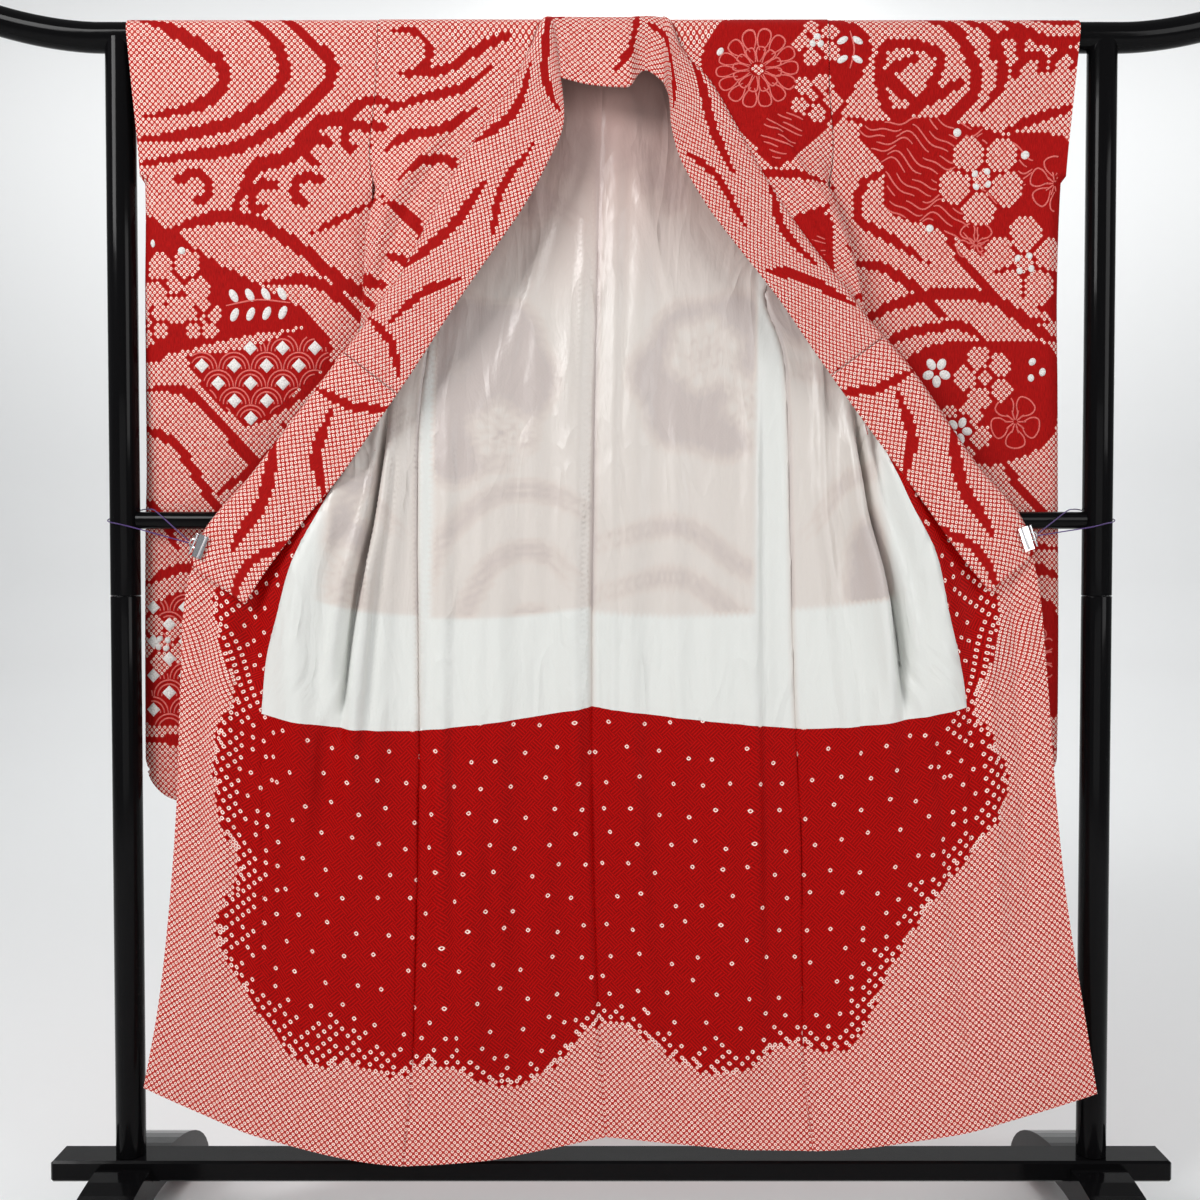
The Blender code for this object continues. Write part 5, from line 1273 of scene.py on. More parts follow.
# Materials
class Nodes:
    """Short words for building a material's nodes."""

    def __init__(self, name, roughness, metallic=0.0, **constants):
        self.material = bpy.data.materials.new(name)
        self.material.use_nodes = True
        self.tree = self.material.node_tree
        self.shader = self.tree.nodes["Principled BSDF"]
        self.shader.inputs["Roughness"].default_value = roughness
        self.shader.inputs["Metallic"].default_value = metallic
        for key, value in constants.items():
            self.shader.inputs[key.replace("_", " ")].default_value = value

    def add(self, kind, **values):
        node = self.tree.nodes.new(kind)
        for key, value in values.items():
            setattr(node, key, value)
        return node

    def feed(self, socket, value):
        if isinstance(value, bpy.types.NodeSocket):
            self.tree.links.new(value, socket)
        elif socket.type == "RGBA":
            socket.default_value = (*value, 1)
        else:
            socket.default_value = value

    def math(self, operation, a, b=0.0, c=0.0):
        node = self.add("ShaderNodeMath", operation=operation)
        for socket, value in zip(node.inputs, (a, b, c)):
            self.feed(socket, value)
        return node.outputs[0]

    def plus(self, a, b):
        return self.math("ADD", a, b)

    def minus(self, a, b):
        return self.math("SUBTRACT", a, b)

    def times(self, a, b):
        return self.math("MULTIPLY", a, b)

    def attribute(self, name, output="Fac"):
        return self.add("ShaderNodeAttribute", attribute_name=name).outputs[output]

    def mix(self, share, a, b):
        node = self.add("ShaderNodeMix", data_type="RGBA")
        self.feed(node.inputs["Factor"], share)
        self.feed(node.inputs[6], a)
        self.feed(node.inputs[7], b)
        return node.outputs[2]

    def ramp(self, value, *stops):
        node = self.add("ShaderNodeValToRGB")
        self.feed(node.inputs[0], value)
        band = node.color_ramp
        while len(band.elements) < len(stops):
            band.elements.new(0.5)
        for element, (at, colour) in zip(band.elements, stops):
            element.position = at
            element.color = (*colour, 1)
        return node.outputs[0]

    def noise(self, vector, scale, detail, rough=0.5, distortion=0.0):
        node = self.add("ShaderNodeTexNoise")
        self.feed(node.inputs["Vector"], vector)
        node.inputs["Scale"].default_value = scale
        node.inputs["Detail"].default_value = detail
        node.inputs["Roughness"].default_value = rough
        node.inputs["Distortion"].default_value = distortion
        return node.outputs[0]

    def scaled(self, vector, scale):
        node = self.add("ShaderNodeVectorMath", operation="MULTIPLY")
        self.feed(node.inputs[0], vector)
        node.inputs[1].default_value = scale
        return node.outputs[0]

    def bump(self, height, distance, strength, over=None):
        node = self.add("ShaderNodeBump")
        node.inputs["Strength"].default_value = strength
        node.inputs["Distance"].default_value = distance
        self.feed(node.inputs["Height"], height)
        if over is not None:
            self.feed(node.inputs["Normal"], over)
        return node.outputs[0]

    def finish(self, colour, roughness=None, normal=None):
        self.feed(self.shader.inputs["Base Color"], colour)
        if roughness is not None:
            self.feed(self.shader.inputs["Roughness"], roughness)
        if normal is not None:
            self.feed(self.shader.inputs["Normal"], normal)
        return self.material


def on_cloth(n):
    """A point's place on the cloth: as a vector, and its X and T."""
    place = n.attribute("cloth", "Vector")
    parts = n.add("ShaderNodeSeparateXYZ")
    n.feed(parts.inputs[0], place)
    return place, parts.outputs[0], parts.outputs[1]


def knots(n, place, x, t):
    """Where a point lies in its knot: the distance from its middle, 0 there and 1 at the corners."""
    wobble = n.times(n.minus(n.noise(place, 160, 2), 0.5), 0.30)
    cells = []
    for sign in ("ADD", "SUBTRACT"):
        total = n.times(n.math(sign, x, t), 1 / (2 * PITCH))
        total = n.plus(n.plus(total, 0.5), wobble)
        cells.append(n.minus(n.math("FRACT", total), 0.5))
    squares = [n.math("POWER", n.math("ABSOLUTE", cell), 2.4) for cell in cells]
    return n.times(n.math("POWER", n.plus(*squares), 1 / 2.4), 2.0)


def damask(n, x, t):
    """Woven figure of short slanting bars in squares that lean two ways."""
    bars, squares = [], []
    for sign in ("ADD", "SUBTRACT"):
        total = n.times(n.math(sign, x, t), 1 / 0.022)
        squares.append(n.math("FLOOR", total))
        part = n.math("ABSOLUTE", n.minus(n.math("FRACT", n.times(total, 4)), 0.5))
        bars.append(n.math("LESS_THAN", part, 0.2))
    odd = n.math("ABSOLUTE", n.math("MODULO", n.plus(*squares), 2.0))
    return n.math("MULTIPLY_ADD", n.minus(bars[0], bars[1]), odd, bars[1])


def kanoko_material(name, red, figured):
    """Tied knots and plain dyed crepe, chosen by the dye of each diamond."""
    n = Nodes(name, 0.78, Specular_IOR_Level=0.07)
    place, x, t = on_cloth(n)
    dye = n.attribute("dye")
    away = knots(n, place, x, t)
    uneven = n.noise(place, 38, 4, 0.6)
    each = n.noise(place, 150, 2, 0.6)
    away = n.plus(away, n.times(n.minus(each, 0.5), 0.25 if figured else 0.55))
    fine = n.noise(place, 900, 2)
    tied = n.ramp(away, (0.0, (0.22, 0.008, 0.007)), (0.22, (0.34, 0.014, 0.012)),
                  (0.33, (1.0, 0.82, 0.73)), (0.62, (1.0, 0.91, 0.83)), (0.74, (0.62, 0.066, 0.048)),
                  (1.0, (0.37, 0.006, 0.005)))
    if figured:
        ring = n.ramp(away, (0.36, (0.38, 0.010, 0.008)), (0.48, (1.0, 0.80, 0.71)),
                      (0.86, (1.0, 0.88, 0.80)), (0.96, (0.50, 0.050, 0.040)))
        tied = n.mix(n.math("COMPARE", dye, LONE, 0.4), tied, ring)
    faded = n.times(n.minus(n.plus(uneven, each), 0.80), 0.62)
    tied = n.mix(faded, tied, (0.66, 0.17, 0.13))
    ribs = n.noise(n.scaled(place, (1, 0.12, 1)), 900, 2, 0.6)
    plain = n.mix(ribs, tuple(c * 0.40 for c in red), tuple(min(1, c * 1.60) for c in red))
    if figured:
        figure = n.times(damask(n, x, t), 0.70)
        plain = n.mix(figure, plain, tuple(min(1, c * 2.2) for c in red))
    is_red = n.math("COMPARE", dye, RED, 0.4)
    colour = n.mix(is_red, tied, plain)
    peak = n.minus(1.0, n.math("MINIMUM", away, 1.0))
    hollow = n.minus(1.0, n.math("MINIMUM", n.times(away, 5), 1.0))
    knot = n.plus(peak, n.times(hollow, -0.35))
    knot = n.plus(knot, n.times(fine, 0.2))
    flat_rib = n.times(ribs, 0.12 if figured else 0.5)
    height = n.math("MULTIPLY_ADD", n.minus(flat_rib, knot), is_red, knot)
    normal = n.bump(height, 0.0011, 0.9)
    swell = n.noise(place, 22, 3, 0.5)
    normal = n.bump(swell, 0.004, 0.5, normal)
    rough = n.math("MULTIPLY_ADD", is_red, -0.28 if figured else -0.10, 0.80)
    return n.finish(colour, rough, normal)


def silk_material(name, light, doubled):
    """White silk, pinker where the dyed cloth shows through it, with painted shade near the neck and seams.
    """
    n = Nodes(name, 0.36, Sheen_Weight=0.2, Sheen_Roughness=0.35, Specular_IOR_Level=0.55)
    place, x, t = on_cloth(n)
    # This attribute holds the pink show-through and the painted shade near the neck and beside the seams
    show_and_shade = n.attribute("show_and_shade")
    thread = n.noise(n.scaled(place, (1, 0.05, 1)), 2500, 2)
    cross = n.noise(n.scaled(place, (0.05, 1, 1)), 2200, 2)
    broad = n.noise(place, 7, 3)
    faint = n.mix(show_and_shade, light, doubled)
    # Greyer where the show-through is strong, and so also in the painted shade near the neck and seams
    strong_show_and_shade = n.math("MAXIMUM", n.math("MULTIPLY_ADD", show_and_shade, 2.4, -1.55), 0.0)
    faint = n.mix(n.math("MINIMUM", strong_show_and_shade, 0.60), faint, (0.435, 0.395, 0.390))
    faint = n.mix(n.times(broad, 0.10), faint, (0.62, 0.59, 0.57))
    faint = n.mix(n.times(damask(n, x, t), 0.05), faint, (0.60, 0.57, 0.55))
    # Painted shade: darker and pinker towards the neck
    near_neck = n.math("MULTIPLY_ADD", n.math("ABSOLUTE", t), -2.4, 1.0)
    faint = n.mix(n.math("MAXIMUM", near_neck, 0.0), faint, (0.43, 0.22, 0.185))
    weave = n.plus(n.times(thread, 0.6), n.times(cross, 0.4))
    colour = n.mix(n.times(weave, 0.10), faint, (0.97, 0.96, 0.94))
    normal = n.bump(weave, 0.00012, 0.6)
    soft = n.noise(n.scaled(place, (1, 0.30, 1)), 26, 4, 0.6, 0.4)
    normal = n.bump(soft, 0.0050, 0.60, normal)
    pressed = n.noise(n.scaled(place, (1, 0.30, 1)), 15, 2, 0.5, 0.6)
    pressed = n.math("ABSOLUTE", n.minus(pressed, 0.5))
    pressed = n.math("MINIMUM", n.times(pressed, 9), 1.0)
    normal = n.bump(pressed, 0.0022, 0.60, normal)
    rough = n.math("MULTIPLY_ADD", n.noise(place, 60, 3), 0.16, 0.29)
    return n.finish(colour, rough, normal)


def lacquer_material():
    n = Nodes("black_lacquer", 0.12, Specular_IOR_Level=0.08)
    where = n.add("ShaderNodeTexCoord").outputs["Object"]
    dust = n.noise(where, 260, 4, 0.7)
    wipe = n.noise(n.scaled(where, (0.3, 1, 1)), 14, 4)
    colour = n.mix(n.times(dust, 0.25), (0.0028, 0.0028, 0.0032), (0.010, 0.009, 0.009))
    rough = n.math("MULTIPLY_ADD", wipe, 0.08, 0.07)
    return n.finish(colour, rough, n.bump(n.noise(where, 20, 2), 0.0006, 0.35))


def chrome_material():
    n = Nodes("chrome", 0.16, 1.0)
    where = n.add("ShaderNodeTexCoord").outputs["Object"]
    scratch = n.noise(n.scaled(where, (1, 1, 0.1)), 1500, 3)
    colour = n.mix(n.times(scratch, 0.4), (0.82, 0.82, 0.84), (0.60, 0.60, 0.62))
    return n.finish(colour, n.math("MULTIPLY_ADD", scratch, 0.18, 0.10), n.bump(scratch, 0.0001, 0.5))


def cord_material():
    n = Nodes("purple_cord", 0.6, Sheen_Weight=0.3, Sheen_Roughness=0.4)
    where = n.add("ShaderNodeTexCoord").outputs["UV"]
    wave = n.add("ShaderNodeTexWave")
    n.feed(wave.inputs["Vector"], n.scaled(where, (180, 2, 1)))
    wave.inputs["Scale"].default_value = 1.0
    colour = n.mix(wave.outputs[1], (0.028, 0.008, 0.085), (0.10, 0.035, 0.26))
    return n.finish(colour, normal=n.bump(wave.outputs[1], 0.0003, 0.7))


def fine_material(name, low, high, scale):
    """Crinkled silk, for the stitched lines and the undyed tufts."""
    n = Nodes(name, 0.75, Specular_IOR_Level=0.2)
    place = n.attribute("cloth", "Vector")
    crinkle = n.noise(place, scale, 4, 0.7)
    colour = n.ramp(crinkle, (0.32, low), (0.62, high))
    return n.finish(colour, normal=n.bump(crinkle, 0.0006, 0.8))


kanoko = kanoko_material("kanoko", (0.335, 0.0045, 0.0040), False)
hem_red = kanoko_material("hem_red", (0.245, 0.0008, 0.0005), True)
line_silk = fine_material("line_silk", (0.50, 0.040, 0.035), (0.80, 0.22, 0.19), 700)
tuft_silk = fine_material("tuft_silk", (0.50, 0.46, 0.44), (0.88, 0.86, 0.83), 420)
white_silk = silk_material("white_silk", (0.690, 0.710, 0.680), (0.555, 0.435, 0.375))
lacquer = lacquer_material()
chrome = chrome_material()
purple = cord_material()


def dress(thing, slot, material, *nodes):
    """Give a piece its material, hide the node that it is seen instead of, and hang it on the root; slot is
    not used.
    """
    thing.data.materials.append(material)
    if nodes:
        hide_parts(*nodes)
    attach(thing, "root")
    return thing


def at_seam(side, x, t):
    """1 on the long seams, where the lining is drawn back to the outer cloth."""
    length = np.clip(np.abs(t), 0, BODY_LENGTH)
    centre = (t < 0) & (x < 1e-6)
    side_edge = np.where(t < 0, back_width(side, length), SHOULDER[side])
    sewn = (np.abs(x - side_edge) < 1e-6) & (length > SIDE_SEAM_TOP)
    overlap = (t > OVERLAP_TOP) & (np.abs(x - (SHOULDER[side] - seam_width(side, length))) < 1e-6)
    return (centre | sewn | overlap).astype(float)


def way_out(side, x, t):
    """The way from the lining to the outer cloth, the same for the two pieces of a seam."""
    def normal(px, pt):
        across = body_point(side, px + 0.002, pt) - body_point(side, px - 0.002, pt)
        down = body_point(side, px, pt + 0.002) - body_point(side, px, pt - 0.002)
        return unit(np.cross(across, down)) * (1 if side == LEFT else -1)

    length = np.clip(np.abs(t), 0, BODY_LENGTH)
    sewn = back_width(side, length)
    away = np.where(t < 0, sewn - x, SHOULDER[side] - x)
    share = ease(1 - away / 0.015)[:, None] * (length > SIDE_SEAM_TOP)[:, None]
    inside = np.clip(length, 0.01, BODY_LENGTH - 0.01)
    seam = unit(normal(sewn - 0.002, -inside) + normal(SHOULDER[side] - 0.002 + 0 * x, inside))
    out = normal(x, np.clip(t, -BODY_LENGTH + 0.002, BODY_LENGTH - 0.002))
    out = unit(out * (1 - share) + seam * share)
    middle = ease(1 - x / 0.008) * (t < 0)
    out[:, 0] = out[:, 0] * (1 - middle)
    return unit(out)


def beside_seam(side, x, t, reach):
    """1 on the centre and side seams, falling to 0 over a few times the reach."""
    length = np.clip(np.abs(t), 0, BODY_LENGTH)
    edge = np.where(t < 0, np.minimum(x, back_width(side, length) - x), SHOULDER[side] - x)
    return np.exp(-(edge / reach) ** 2) * ((t < 0) | (length > SIDE_SEAM_TOP))


def panel(name, side, low, high, clamp, dye, material, slot, lining=False, show_and_shade=None):
    """One cloth piece over its solid. A lining lies inside the outer cloth and hangs a little loose."""
    if lining:
        x, t, faces, middles = lattice(low, high, clamp)
        seam = at_seam(side, x, t)
        uneven = 0.75 + 0.25 * np.sin(31 * t + 2 * side) * np.sin(12 * t)
        pucker = 0.0024 * uneven * beside_seam(side, x, t, 0.009)
        loose = (fold_height(LINING_CREASES[side], t, x) + pucker) * (1 - seam)
        inward = (INWARD - SEAM_GROOVE * seam + loose)[:, None]
        points = body_point(side, x, t) - way_out(side, x, t) * inward
    else:
        def drifted(px, pt):
            near_x, near_t = clamp(px - drift(side, pt), pt)
            return near_x + drift(side, near_t), near_t
        x, t, faces, middles = lattice(low, (high[0] + drift(side, BODY_LENGTH), high[1]), drifted)
        points = body_point(side, x - drift(side, t), t)
    shown = show_and_shade(side, x, t) if show_and_shade else None
    thing = cloth_mesh(name, x, t, points, faces, side == RIGHT, dye(side, *middles), shown)
    return dress(thing, slot, material, name)


def body_clamp(side):
    def clamp(x, t):
        length = np.clip(np.abs(t), 0, BODY_LENGTH)
        back = t <= 0
        low = np.where(back, 0.0, SHOULDER[side] - seam_width(side, length))
        high = np.where(back, back_width(side, length), SHOULDER[side])
        near_neck = (~back) & (t < 1.2 * PITCH) & (x < low)
        new_t = np.where(near_neck, 0.0, np.clip(t, -BODY_LENGTH, BODY_LENGTH))
        low = np.where(near_neck, 0.0, low)
        return np.clip(x, low, high), new_t
    return clamp


def seam_line(side, x, t):
    """Cloth length at which the white lining meets the red one."""
    length = np.abs(t)
    share = np.where(t <= 0, np.clip(x / back_width(side, length), 0, 1),
                     np.clip((SHOULDER[side] - x) / seam_width(side, length), 0, 1))
    back = SEAM_CENTRE + (SEAM_SIDE - SEAM_CENTRE) * share
    front = SEAM_SIDE + (SEAM_OVERLAP - SEAM_SIDE) * share
    return np.where(t <= 0, back, front)


def lining_clamp(side, part):
    whole = body_clamp(side)

    def clamp(x, t):
        near_x, near_t = whole(x, t)
        seam = seam_line(side, near_x, near_t)
        if part == "body":
            near_t = np.clip(near_t, -seam, seam)
        elif part == "back":
            near_t = np.minimum(near_t, -seam)
        else:
            near_t = np.maximum(near_t, seam)
        return near_x, near_t
    return clamp


def overlap_clamp(side):
    def clamp(x, t):
        length = np.clip(t, OVERLAP_TOP, BODY_LENGTH)
        low = SHOULDER[side] - front_width(side, length)
        high = SHOULDER[side] - seam_width(side, length)
        return np.clip(x, low, high), length
    return clamp


# The upper part of the white lining looks doubled: how far down, and how far from the centre back
DOUBLED_END = 0.830
DOUBLED_HALF = 0.225


def undyed(_side, x, _t):
    """Dye of the white lining, which has none."""
    return np.full(x.shape, PALE)


def show_through_and_shade(side, x, t):
    """How much the dyed cloth shows pink through the white lining, and painted shade at the neck and seams.
    """
    low = DOUBLED_END + 0.008 * np.sin(9 * x + side)
    zone = ease((low - np.abs(t)) / 0.008)
    zone = zone * np.where(t <= 0, ease((DOUBLED_HALF - x) / 0.008), ease((x - 0.10) / 0.03))
    blurred = 0.0
    for turn in np.arange(6) * 2 * math.pi / 6:
        blurred = blurred + (dyed(side, *polar((x, t), 0.011, turn)) == RED) / 6
    # Painted shade: darker towards the neck, and along the seams
    neck_shade = 0.60 * ease((0.34 - np.abs(t)) / 0.30)
    shade = 0.45 * beside_seam(side, x, t, 0.004)
    return zone * (0.48 + 0.44 * blurred) + neck_shade + 0.05 + shade


for side, word in enumerate(WORDS):
    shoulder = SHOULDER[side]
    outer = panel("body_" + word, side, (0, -BODY_LENGTH), (shoulder, BODY_LENGTH), body_clamp(side),
                  dyed, kanoko, "kanoko")
    overlap = panel("overlap_" + word, side, (-0.12, OVERLAP_TOP), (shoulder, BODY_LENGTH),
                    overlap_clamp(side), dyed, kanoko, "kanoko")
    overlap_lining = panel("overlap_lining_" + word, side, (-0.12, OVERLAP_TOP), (shoulder, BODY_LENGTH),
                           overlap_clamp(side), hem_dyed, hem_red, "hem_red", True)
    body_lining = panel("body_lining_" + word, side, (0, -1.02), (shoulder, 1.02), lining_clamp(side, "body"),
                        undyed, white_silk, "white_silk", True, show_through_and_shade)
    for part, low_t, high_t in (("back", -BODY_LENGTH, -0.95), ("front", 0.95, BODY_LENGTH)):
        hem = panel("hem_lining_%s_%s" % (part, word), side, (0, low_t), (shoulder, high_t),
                    lining_clamp(side, part), hem_dyed, hem_red, "hem_red", True)


def sleeve_clamp(x, t):
    near_x = np.clip(x, 0, SLEEVE_WIDTH)
    foot = sleeve_foot(SLEEVE_WIDTH - near_x)
    return near_x, np.clip(t, -foot, foot)


for side, word in enumerate(WORDS):
    x, t, faces, (from_armhole, along) = lattice((0, -SLEEVE_LENGTH), (SLEEVE_WIDTH, SLEEVE_LENGTH),
                                                 sleeve_clamp)
    tone = dyed(side, SHOULDER[side] + from_armhole, along)
    sleeve = cloth_mesh("sleeve_" + word, x, t, sleeve_point(side, x, t), faces, side == RIGHT, tone)
    dress(sleeve, "kanoko", kanoko, "sleeve_" + word)


def outer_place(side, x, t):
    """Where a place of the outer cloth lies, on the body or the sleeve, and the way out of it."""
    def at(px, pt):
        on_sleeve = px > SHOULDER[side]
        body = body_point(side, np.minimum(px, SHOULDER[side]) - drift(side, pt), pt)
        sleeve = sleeve_point(side, np.maximum(px - SHOULDER[side], 0), pt)
        return np.where(on_sleeve[..., None], sleeve, body)
    step = 0.0015
    across = at(x + step, t) - at(x - step, t)
    down = at(x, t + step) - at(x, t - step)
    out = unit(np.cross(across, down)) * (1 if side == LEFT else -1)
    return at(x, t), out


def on_outer_cloth(side, x, t):
    """True where the outer cloth has this place, a little inside its edges."""
    length = np.clip(np.abs(t), 0, BODY_LENGTH)
    edge = np.where(t > 0, SHOULDER[side] - front_width(side, length), 0.0)
    sewn = np.where(t > 0, SHOULDER[side], back_width(side, length))
    weave = x - drift(side, t)
    body = (weave > edge + 0.006) & (x < np.minimum(sewn, SHOULDER[side]) - 0.004)
    body &= length < BODY_LENGTH - 0.01
    inside = x - SHOULDER[side]
    foot = sleeve_foot(SLEEVE_WIDTH - np.clip(inside, 0, SLEEVE_WIDTH))
    sleeve = (inside > 0.005) & (inside < SLEEVE_WIDTH - 0.012) & (length < foot - 0.012)
    return body | sleeve


def raised(name, side, verts, faces, lift, material):
    """Fine work laid on the outer cloth: corners are X, T and their own height."""
    verts = np.array(verts)
    x, t, height = verts.T
    place, out = outer_place(side, x, t)
    order = [face if side == LEFT else face[::-1] for face in faces]
    mesh, layer = placed_mesh(name, x, t, place + out * (lift + height)[:, None], order)
    index = np.empty(len(mesh.loops), dtype=int)
    mesh.loops.foreach_get("vertex_index", index)
    low, high = verts[:, :2].min(axis=0), verts[:, :2].max(axis=0)
    uv = (verts[index, :2] - low) / max(high - low)
    layer.data.foreach_set("uv", uv.ravel())
    mesh.shade_smooth()
    return dress(linked(name, mesh), "kanoko", material)


def stitched_lines(side):
    """Thin ridges of stitched cloth, with a round top."""
    lines = fine_work(side)[0]
    verts, faces = [], []
    profile = ((-1.0, 0.0), (-0.5, 0.8), (0.5, 0.8), (1.0, 0.0))
    lines = [smooth_line(line, 4) if len(line) < 12 else np.array(line) for line in lines]
    spots = np.concatenate(lines)
    shown = on_outer_cloth(side, *spots.T) & (dyed(side, *spots.T) == RED)
    for line, keep in zip(lines, np.split(shown, np.cumsum([len(line) for line in lines])[:-1])):
        ahead = unit(np.gradient(line, axis=0))
        sideways = np.stack([-ahead[:, 1], ahead[:, 0]], axis=1)
        before = None
        for k in range(len(line)):
            if not keep[k]:
                before = None
                continue
            from_end = min(k, len(line) - 1 - k) / len(line)
            taper = 0.55 + 0.45 * math.sin(math.pi * min(1, 4 * from_end + 0.2) / 2)
            base = len(verts)
            for across, high in profile:
                spot = line[k] + sideways[k] * across * LINE_HALF * taper
                verts.append((spot[0], spot[1], high * LINE_HALF * 0.8))
            if before is not None:
                for m in range(3):
                    faces.append((before + m + 1, base + m + 1, base + m, before + m))
            before = base
    return raised("stitched_lines_" + WORDS[side], side, verts, faces, 0.0001, line_silk)


# Height of a tuft's top, and of its rounds by their share of its reach
TUFT_TOP = 0.0013
TUFT_ROUNDS = ((0.45, 0.0014), (0.82, 0.0008), (1.0, -0.0002))
TUFT_SIDES = 12


def white_tufts(side):
    """Small undyed tufts that stand up from the cloth."""
    verts, faces = [], []
    for x, t, long_half, short_half, turn in fine_work(side)[1]:
        if not on_outer_cloth(side, np.array([x]), np.array([t]))[0]:
            continue
        base = len(verts)
        verts.append((x, t, TUFT_TOP))
        for share, high in TUFT_ROUNDS:
            for k in range(TUFT_SIDES):
                a = 2 * math.pi * k / TUFT_SIDES
                square = 1 / (abs(math.cos(a)) + abs(math.sin(a))) if long_half > ROUND_TUFT else 1
                u, v = share * square * long_half * math.cos(a), share * square * short_half * math.sin(a)
                verts.append((x + u * math.cos(turn) - v * math.sin(turn),
                              t + u * math.sin(turn) + v * math.cos(turn), high))
        for k in range(TUFT_SIDES):
            n = (k + 1) % TUFT_SIDES
            faces.append((base, base + 1 + k, base + 1 + n))
            for r in range(len(TUFT_ROUNDS) - 1):
                a = base + 1 + TUFT_SIDES * r
                b = a + TUFT_SIDES
                faces.append((a + k, b + k, b + n, a + n))
    return raised("white_tufts_" + WORDS[side], side, verts, faces, 0.0002, tuft_silk)


for side in (LEFT, RIGHT):
    stitched_lines(side)
    white_tufts(side)

# Collars
strips = {
    "collar_left": Strip(collar_rows(LEFT, OVER_COLLAR_END + SEAM_ROOM, COLLAR_END)),
    "collar_right": Strip(collar_rows(RIGHT, OVER_COLLAR_END + SEAM_ROOM, COLLAR_END)),
    "over_collar": Strip(collar_rows(LEFT, 0, OVER_COLLAR_END)[::-1] + neck_rows()
                         + collar_rows(RIGHT, 0, OVER_COLLAR_END)),
}
for name, strip in strips.items():
    def strip_clamp(x, t, s=strip):
        return np.clip(x, 0, s.width), np.clip(t, 0, s.length)
    x, t, faces, middles = lattice((0, 0), (strip.width, strip.length), strip_clamp)
    tone = collar_dyed(*middles)
    collar = cloth_mesh(name, x, t, strip.read(x, t), faces, name == "collar_left", tone)
    dress(collar, "kanoko", kanoko, name)
    wall = collar.modifiers.new("wall", "SOLIDIFY")
    wall.thickness = COLLAR_CLOTH
    wall.offset = 0


# Stand
EDGE_ANGLE = math.radians(40)


def revolved(name, path, radii, sides=48):
    """A round bar with smooth sides along a path, by its radius at each point."""
    path = np.array(path, dtype=float)
    ahead = unit(np.gradient(path, axis=0))
    up = np.array((0, 1.0, 0)) if abs(ahead[0][1]) < 0.9 else np.array((1.0, 0, 0))
    angles = np.linspace(0, 2 * math.pi, sides, endpoint=False)
    verts, faces = [], []
    for at, way, radius in zip(path, ahead, radii):
        across = unit(np.cross(way, up))
        other = np.cross(way, across)
        verts.append(at + radius * (np.cos(angles)[:, None] * across + np.sin(angles)[:, None] * other))
    for k in range(len(path) - 1):
        for m in range(sides):
            n = (m + 1) % sides
            faces.append((k * sides + m, k * sides + n, (k + 1) * sides + n, (k + 1) * sides + m))
    faces.append(tuple(range(sides))[::-1])
    faces.append(tuple((len(path) - 1) * sides + m for m in range(sides)))
    mesh = bpy.data.meshes.new(name)
    mesh.from_pydata(np.concatenate(verts).tolist(), [], faces)
    around = mesh.uv_layers.new(name="round_map")
    for polygon in mesh.polygons:
        for loop in polygon.loop_indices:
            index = mesh.loops[loop].vertex_index
            around.data[loop].uv = ((index // sides) / len(path), (index % sides) / sides)
    mesh.shade_smooth()
    mesh.set_sharp_from_angle(angle=EDGE_ANGLE)
    return linked(name, mesh)


def rounded_ends(start, end, radius, edge):
    """Path and radii of a straight bar whose end edges are rounded."""
    start, end = np.array(start, dtype=float), np.array(end, dtype=float)
    way = unit(end - start)
    turn = np.linspace(0, math.pi / 2, 5)
    head = [(start + way * edge * (1 - math.cos(a)), radius - edge * (1 - math.sin(a))) for a in turn]
    tail = [(end - way * edge * (1 - math.cos(a)), radius - edge * (1 - math.sin(a))) for a in turn[::-1]]
    return zip(*head, *tail)


def lacquered(node, path, radii):
    dress(revolved(node, path, radii), "black_lacquer", lacquer, node)


# The top bar is straight this far from its middle, and turns up beyond
STRAIGHT = 0.70
bar_x = np.concatenate([np.linspace(-BAR_HALF, -STRAIGHT, 40), np.linspace(-0.6, 0.6, 13),
                        np.linspace(STRAIGHT, BAR_HALF, 40)])
bar_rise = BAR_END_RISE * np.clip((np.abs(bar_x) - STRAIGHT) / (BAR_HALF - STRAIGHT), 0, 1) ** 1.8
bar_path = np.stack([bar_x, bar_x * 0, BAR_Z + bar_rise], axis=1)
bar_radii = np.full(len(bar_x), BAR_RADIUS)
bar_radii[[0, -1]] = BAR_RADIUS - 0.003
lacquered("top_bar", bar_path, bar_radii)
mid_end = (UPRIGHT_X - 0.018, 0, MID_BAR_Z)
lacquered("mid_bar", *rounded_ends((-mid_end[0], 0, MID_BAR_Z), mid_end, MID_BAR_RADIUS, 0.0006))
for x, word in ((-UPRIGHT_X, "left"), (UPRIGHT_X, "right")):
    for part, low_z, high_z in (("lower", BASE_TOP + GAP, UPRIGHT_JOINT_Z),
                                ("upper", UPRIGHT_JOINT_Z + GAP, BAR_Z - 0.004)):
        lacquered("upright_%s_%s" % (part, word),
                  *rounded_ends((x, 0, low_z), (x, 0, high_z), UPRIGHT_RADIUS, 0.0014))

# Solids that are seen as they are
for node, material in (("base_bar", lacquer), ("foot_left", lacquer), ("foot_right", lacquer),
                       ("clip_left", chrome), ("clip_right", chrome)):
    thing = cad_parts[node]
    thing.data.materials.clear()
    thing.data.materials.append(material)
    if material == lacquer:
        soften = thing.modifiers.new("edges", "BEVEL")
        soften.width = 0.0018
        soften.segments = 3
        soften.limit_method = "ANGLE"
        soften.angle_limit = EDGE_ANGLE

